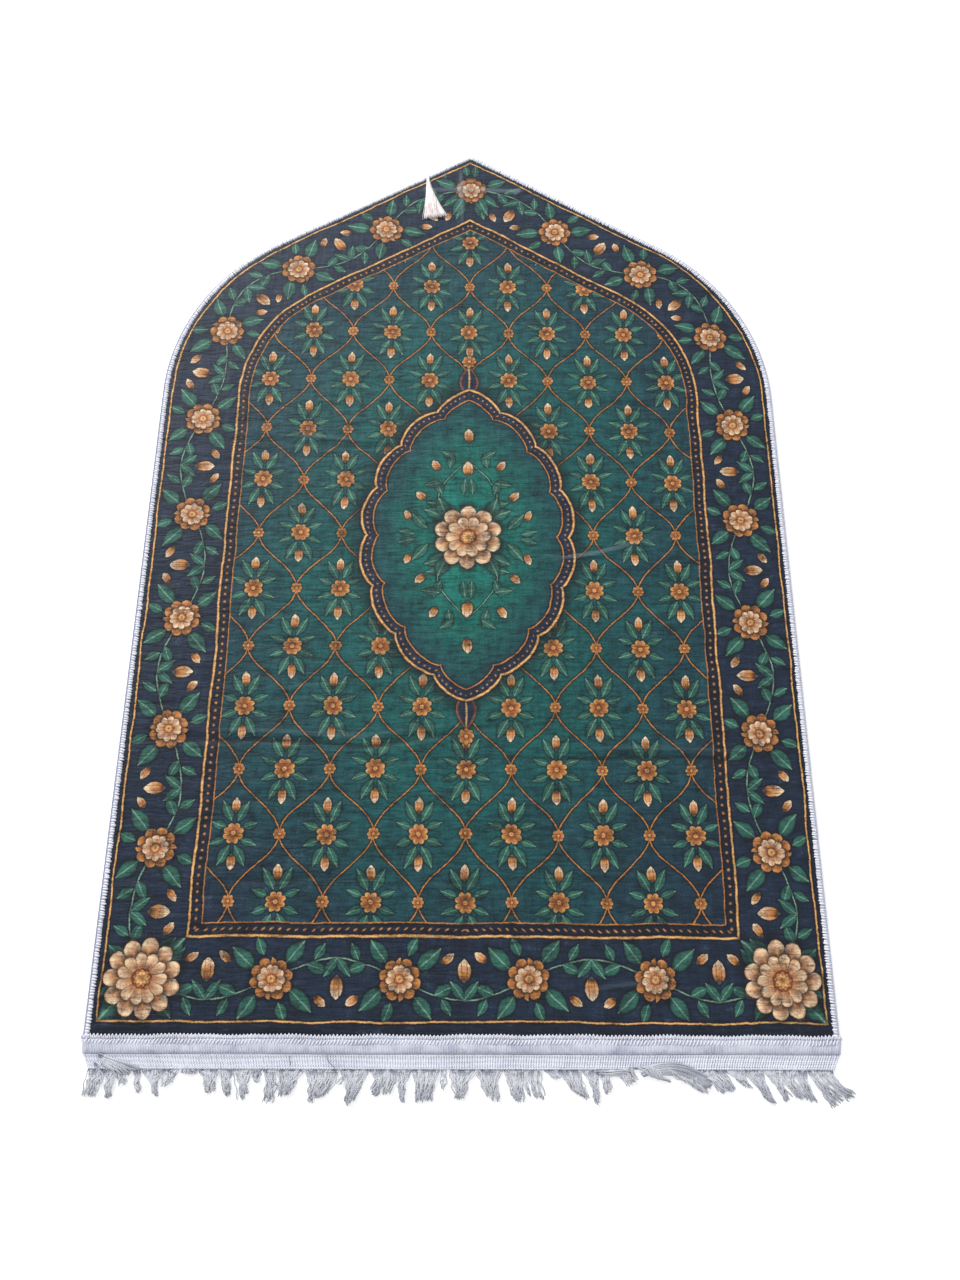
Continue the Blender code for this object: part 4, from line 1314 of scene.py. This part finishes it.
stray_yarns = make_strays("stray_yarns", STRAY_YARNS, STRAY_RADIUS)
stray_threads = make_strays("stray_threads", STRAY_THREADS, THREAD_RADIUS)
heading_cords.data.materials.append(cotton)
for piece in (fringe_yarns, fringe_hairs, stray_yarns):
    piece.data.materials.append(loose_cotton)
stray_threads.data.materials.append(grey_thread)
fringe_pieces = (
    heading_cords, heading_top_row, heading_foot_row, fringe_yarns, fringe_hairs, stray_yarns, stray_threads,
)
for piece in fringe_pieces:
    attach(piece, "root")
    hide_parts("fringe")


# THE TASSEL
# A silky tassel sewn to the edging left of the apex. It lies on the pile, smooth and narrow at its top, and
# its strands part and spread below.
TASSEL_TOP = (-0.0610, 0.5595)
SKIRT_LEFT = (-0.0650, 0.4800)
SKIRT_RIGHT = (-0.0315, 0.4865)
STALK_WIDTH = 0.0032
TASSEL_FLARE = 1.5
SILK_STRANDS = 74
SILK_STEPS = 14
SILK_RADIUS = 0.00034
SILK_REST = 0.0049
SILK_CROWN = 0.0021


def tassel_place(along, across):
    """A point of the tassel, from its sewn end to its skirt and from its left side to its right one."""
    flare = along**TASSEL_FLARE
    skirt_x = SKIRT_LEFT[0] + (SKIRT_RIGHT[0] - SKIRT_LEFT[0]) * across
    skirt_y = SKIRT_LEFT[1] + (SKIRT_RIGHT[1] - SKIRT_LEFT[1]) * across
    x = (TASSEL_TOP[0] + (across - 0.5) * STALK_WIDTH) * (1.0 - flare) + skirt_x * flare
    y = TASSEL_TOP[1] * (1.0 - along) + skirt_y * along
    return x, y


def make_silk_layer(name, level, reach, seed):
    """One layer of strands. Each layer lies higher on the tassel's round back than the one below it."""
    chance = np.random.default_rng(seed)
    each = (SILK_STRANDS, 1)
    along = np.linspace(0.0, 1.0, SILK_STEPS)[None] * chance.uniform(reach - 0.06, reach, each)
    across = (np.arange(SILK_STRANDS)[:, None] + 0.5) / SILK_STRANDS
    loose = smooth_step(along, 0.40, 0.95)
    across = across + chance.normal(0.0, 0.022, each) * loose
    across = across + 0.012 * loose * np.sin(along * 14.0 + chance.uniform(0.0, FULL_TURN, each))
    x, y = tassel_place(along, across)
    width = STALK_WIDTH + (SKIRT_RIGHT[0] - SKIRT_LEFT[0] - STALK_WIDTH) * along**TASSEL_FLARE
    back = np.sqrt(np.clip(1.0 - (2.0 * across - 1.0) ** 2, 0.0, 1.0))
    crown = np.minimum(0.34 * width, SILK_CROWN) * (1.0 - 0.45 * loose)
    rest = SILK_REST - 0.0006 * smooth_step(along, 0.09, 0.15)
    z = rest + SILK_RADIUS + crown * back * level + chance.uniform(0.0, 0.0003, each) * loose
    radii = SILK_RADIUS * (0.9 + 0.3 * loose) * np.ones_like(x)
    radii[:, -1] *= 0.4
    return make_tubes(name, np.stack((x, y, z), -1), radii, sides=5)


def make_silk():
    """Silky thread: streaks run down the tassel, from bright white to a faint rose grey."""
    material, shader, spot = new_material("tassel_silk")
    streak = cloudy(stretched(spot, 1.0, 0.05), 900.0, 2.0, 0.6)
    tone = toned(streak, (0.36, dye(172, 152, 152)), (0.5, dye(224, 216, 216)), (0.64, dye(246, 243, 243)))
    fill(shader, {"Base Color": tone, "Roughness": 0.38, "Sheen Weight": 0.25})
    return material


silk = make_silk()
silk_layers = (
    ("tassel_core", 0.35, 0.97, 21), ("tassel_middle", 0.7, 0.99, 22), ("tassel_face", 1.0, 1.0, 23),
)
tassel_pieces = [make_silk_layer(*layer) for layer in silk_layers]
for piece in tassel_pieces:
    piece.data.materials.append(silk)
    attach(piece, "root")
    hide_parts("tassel")
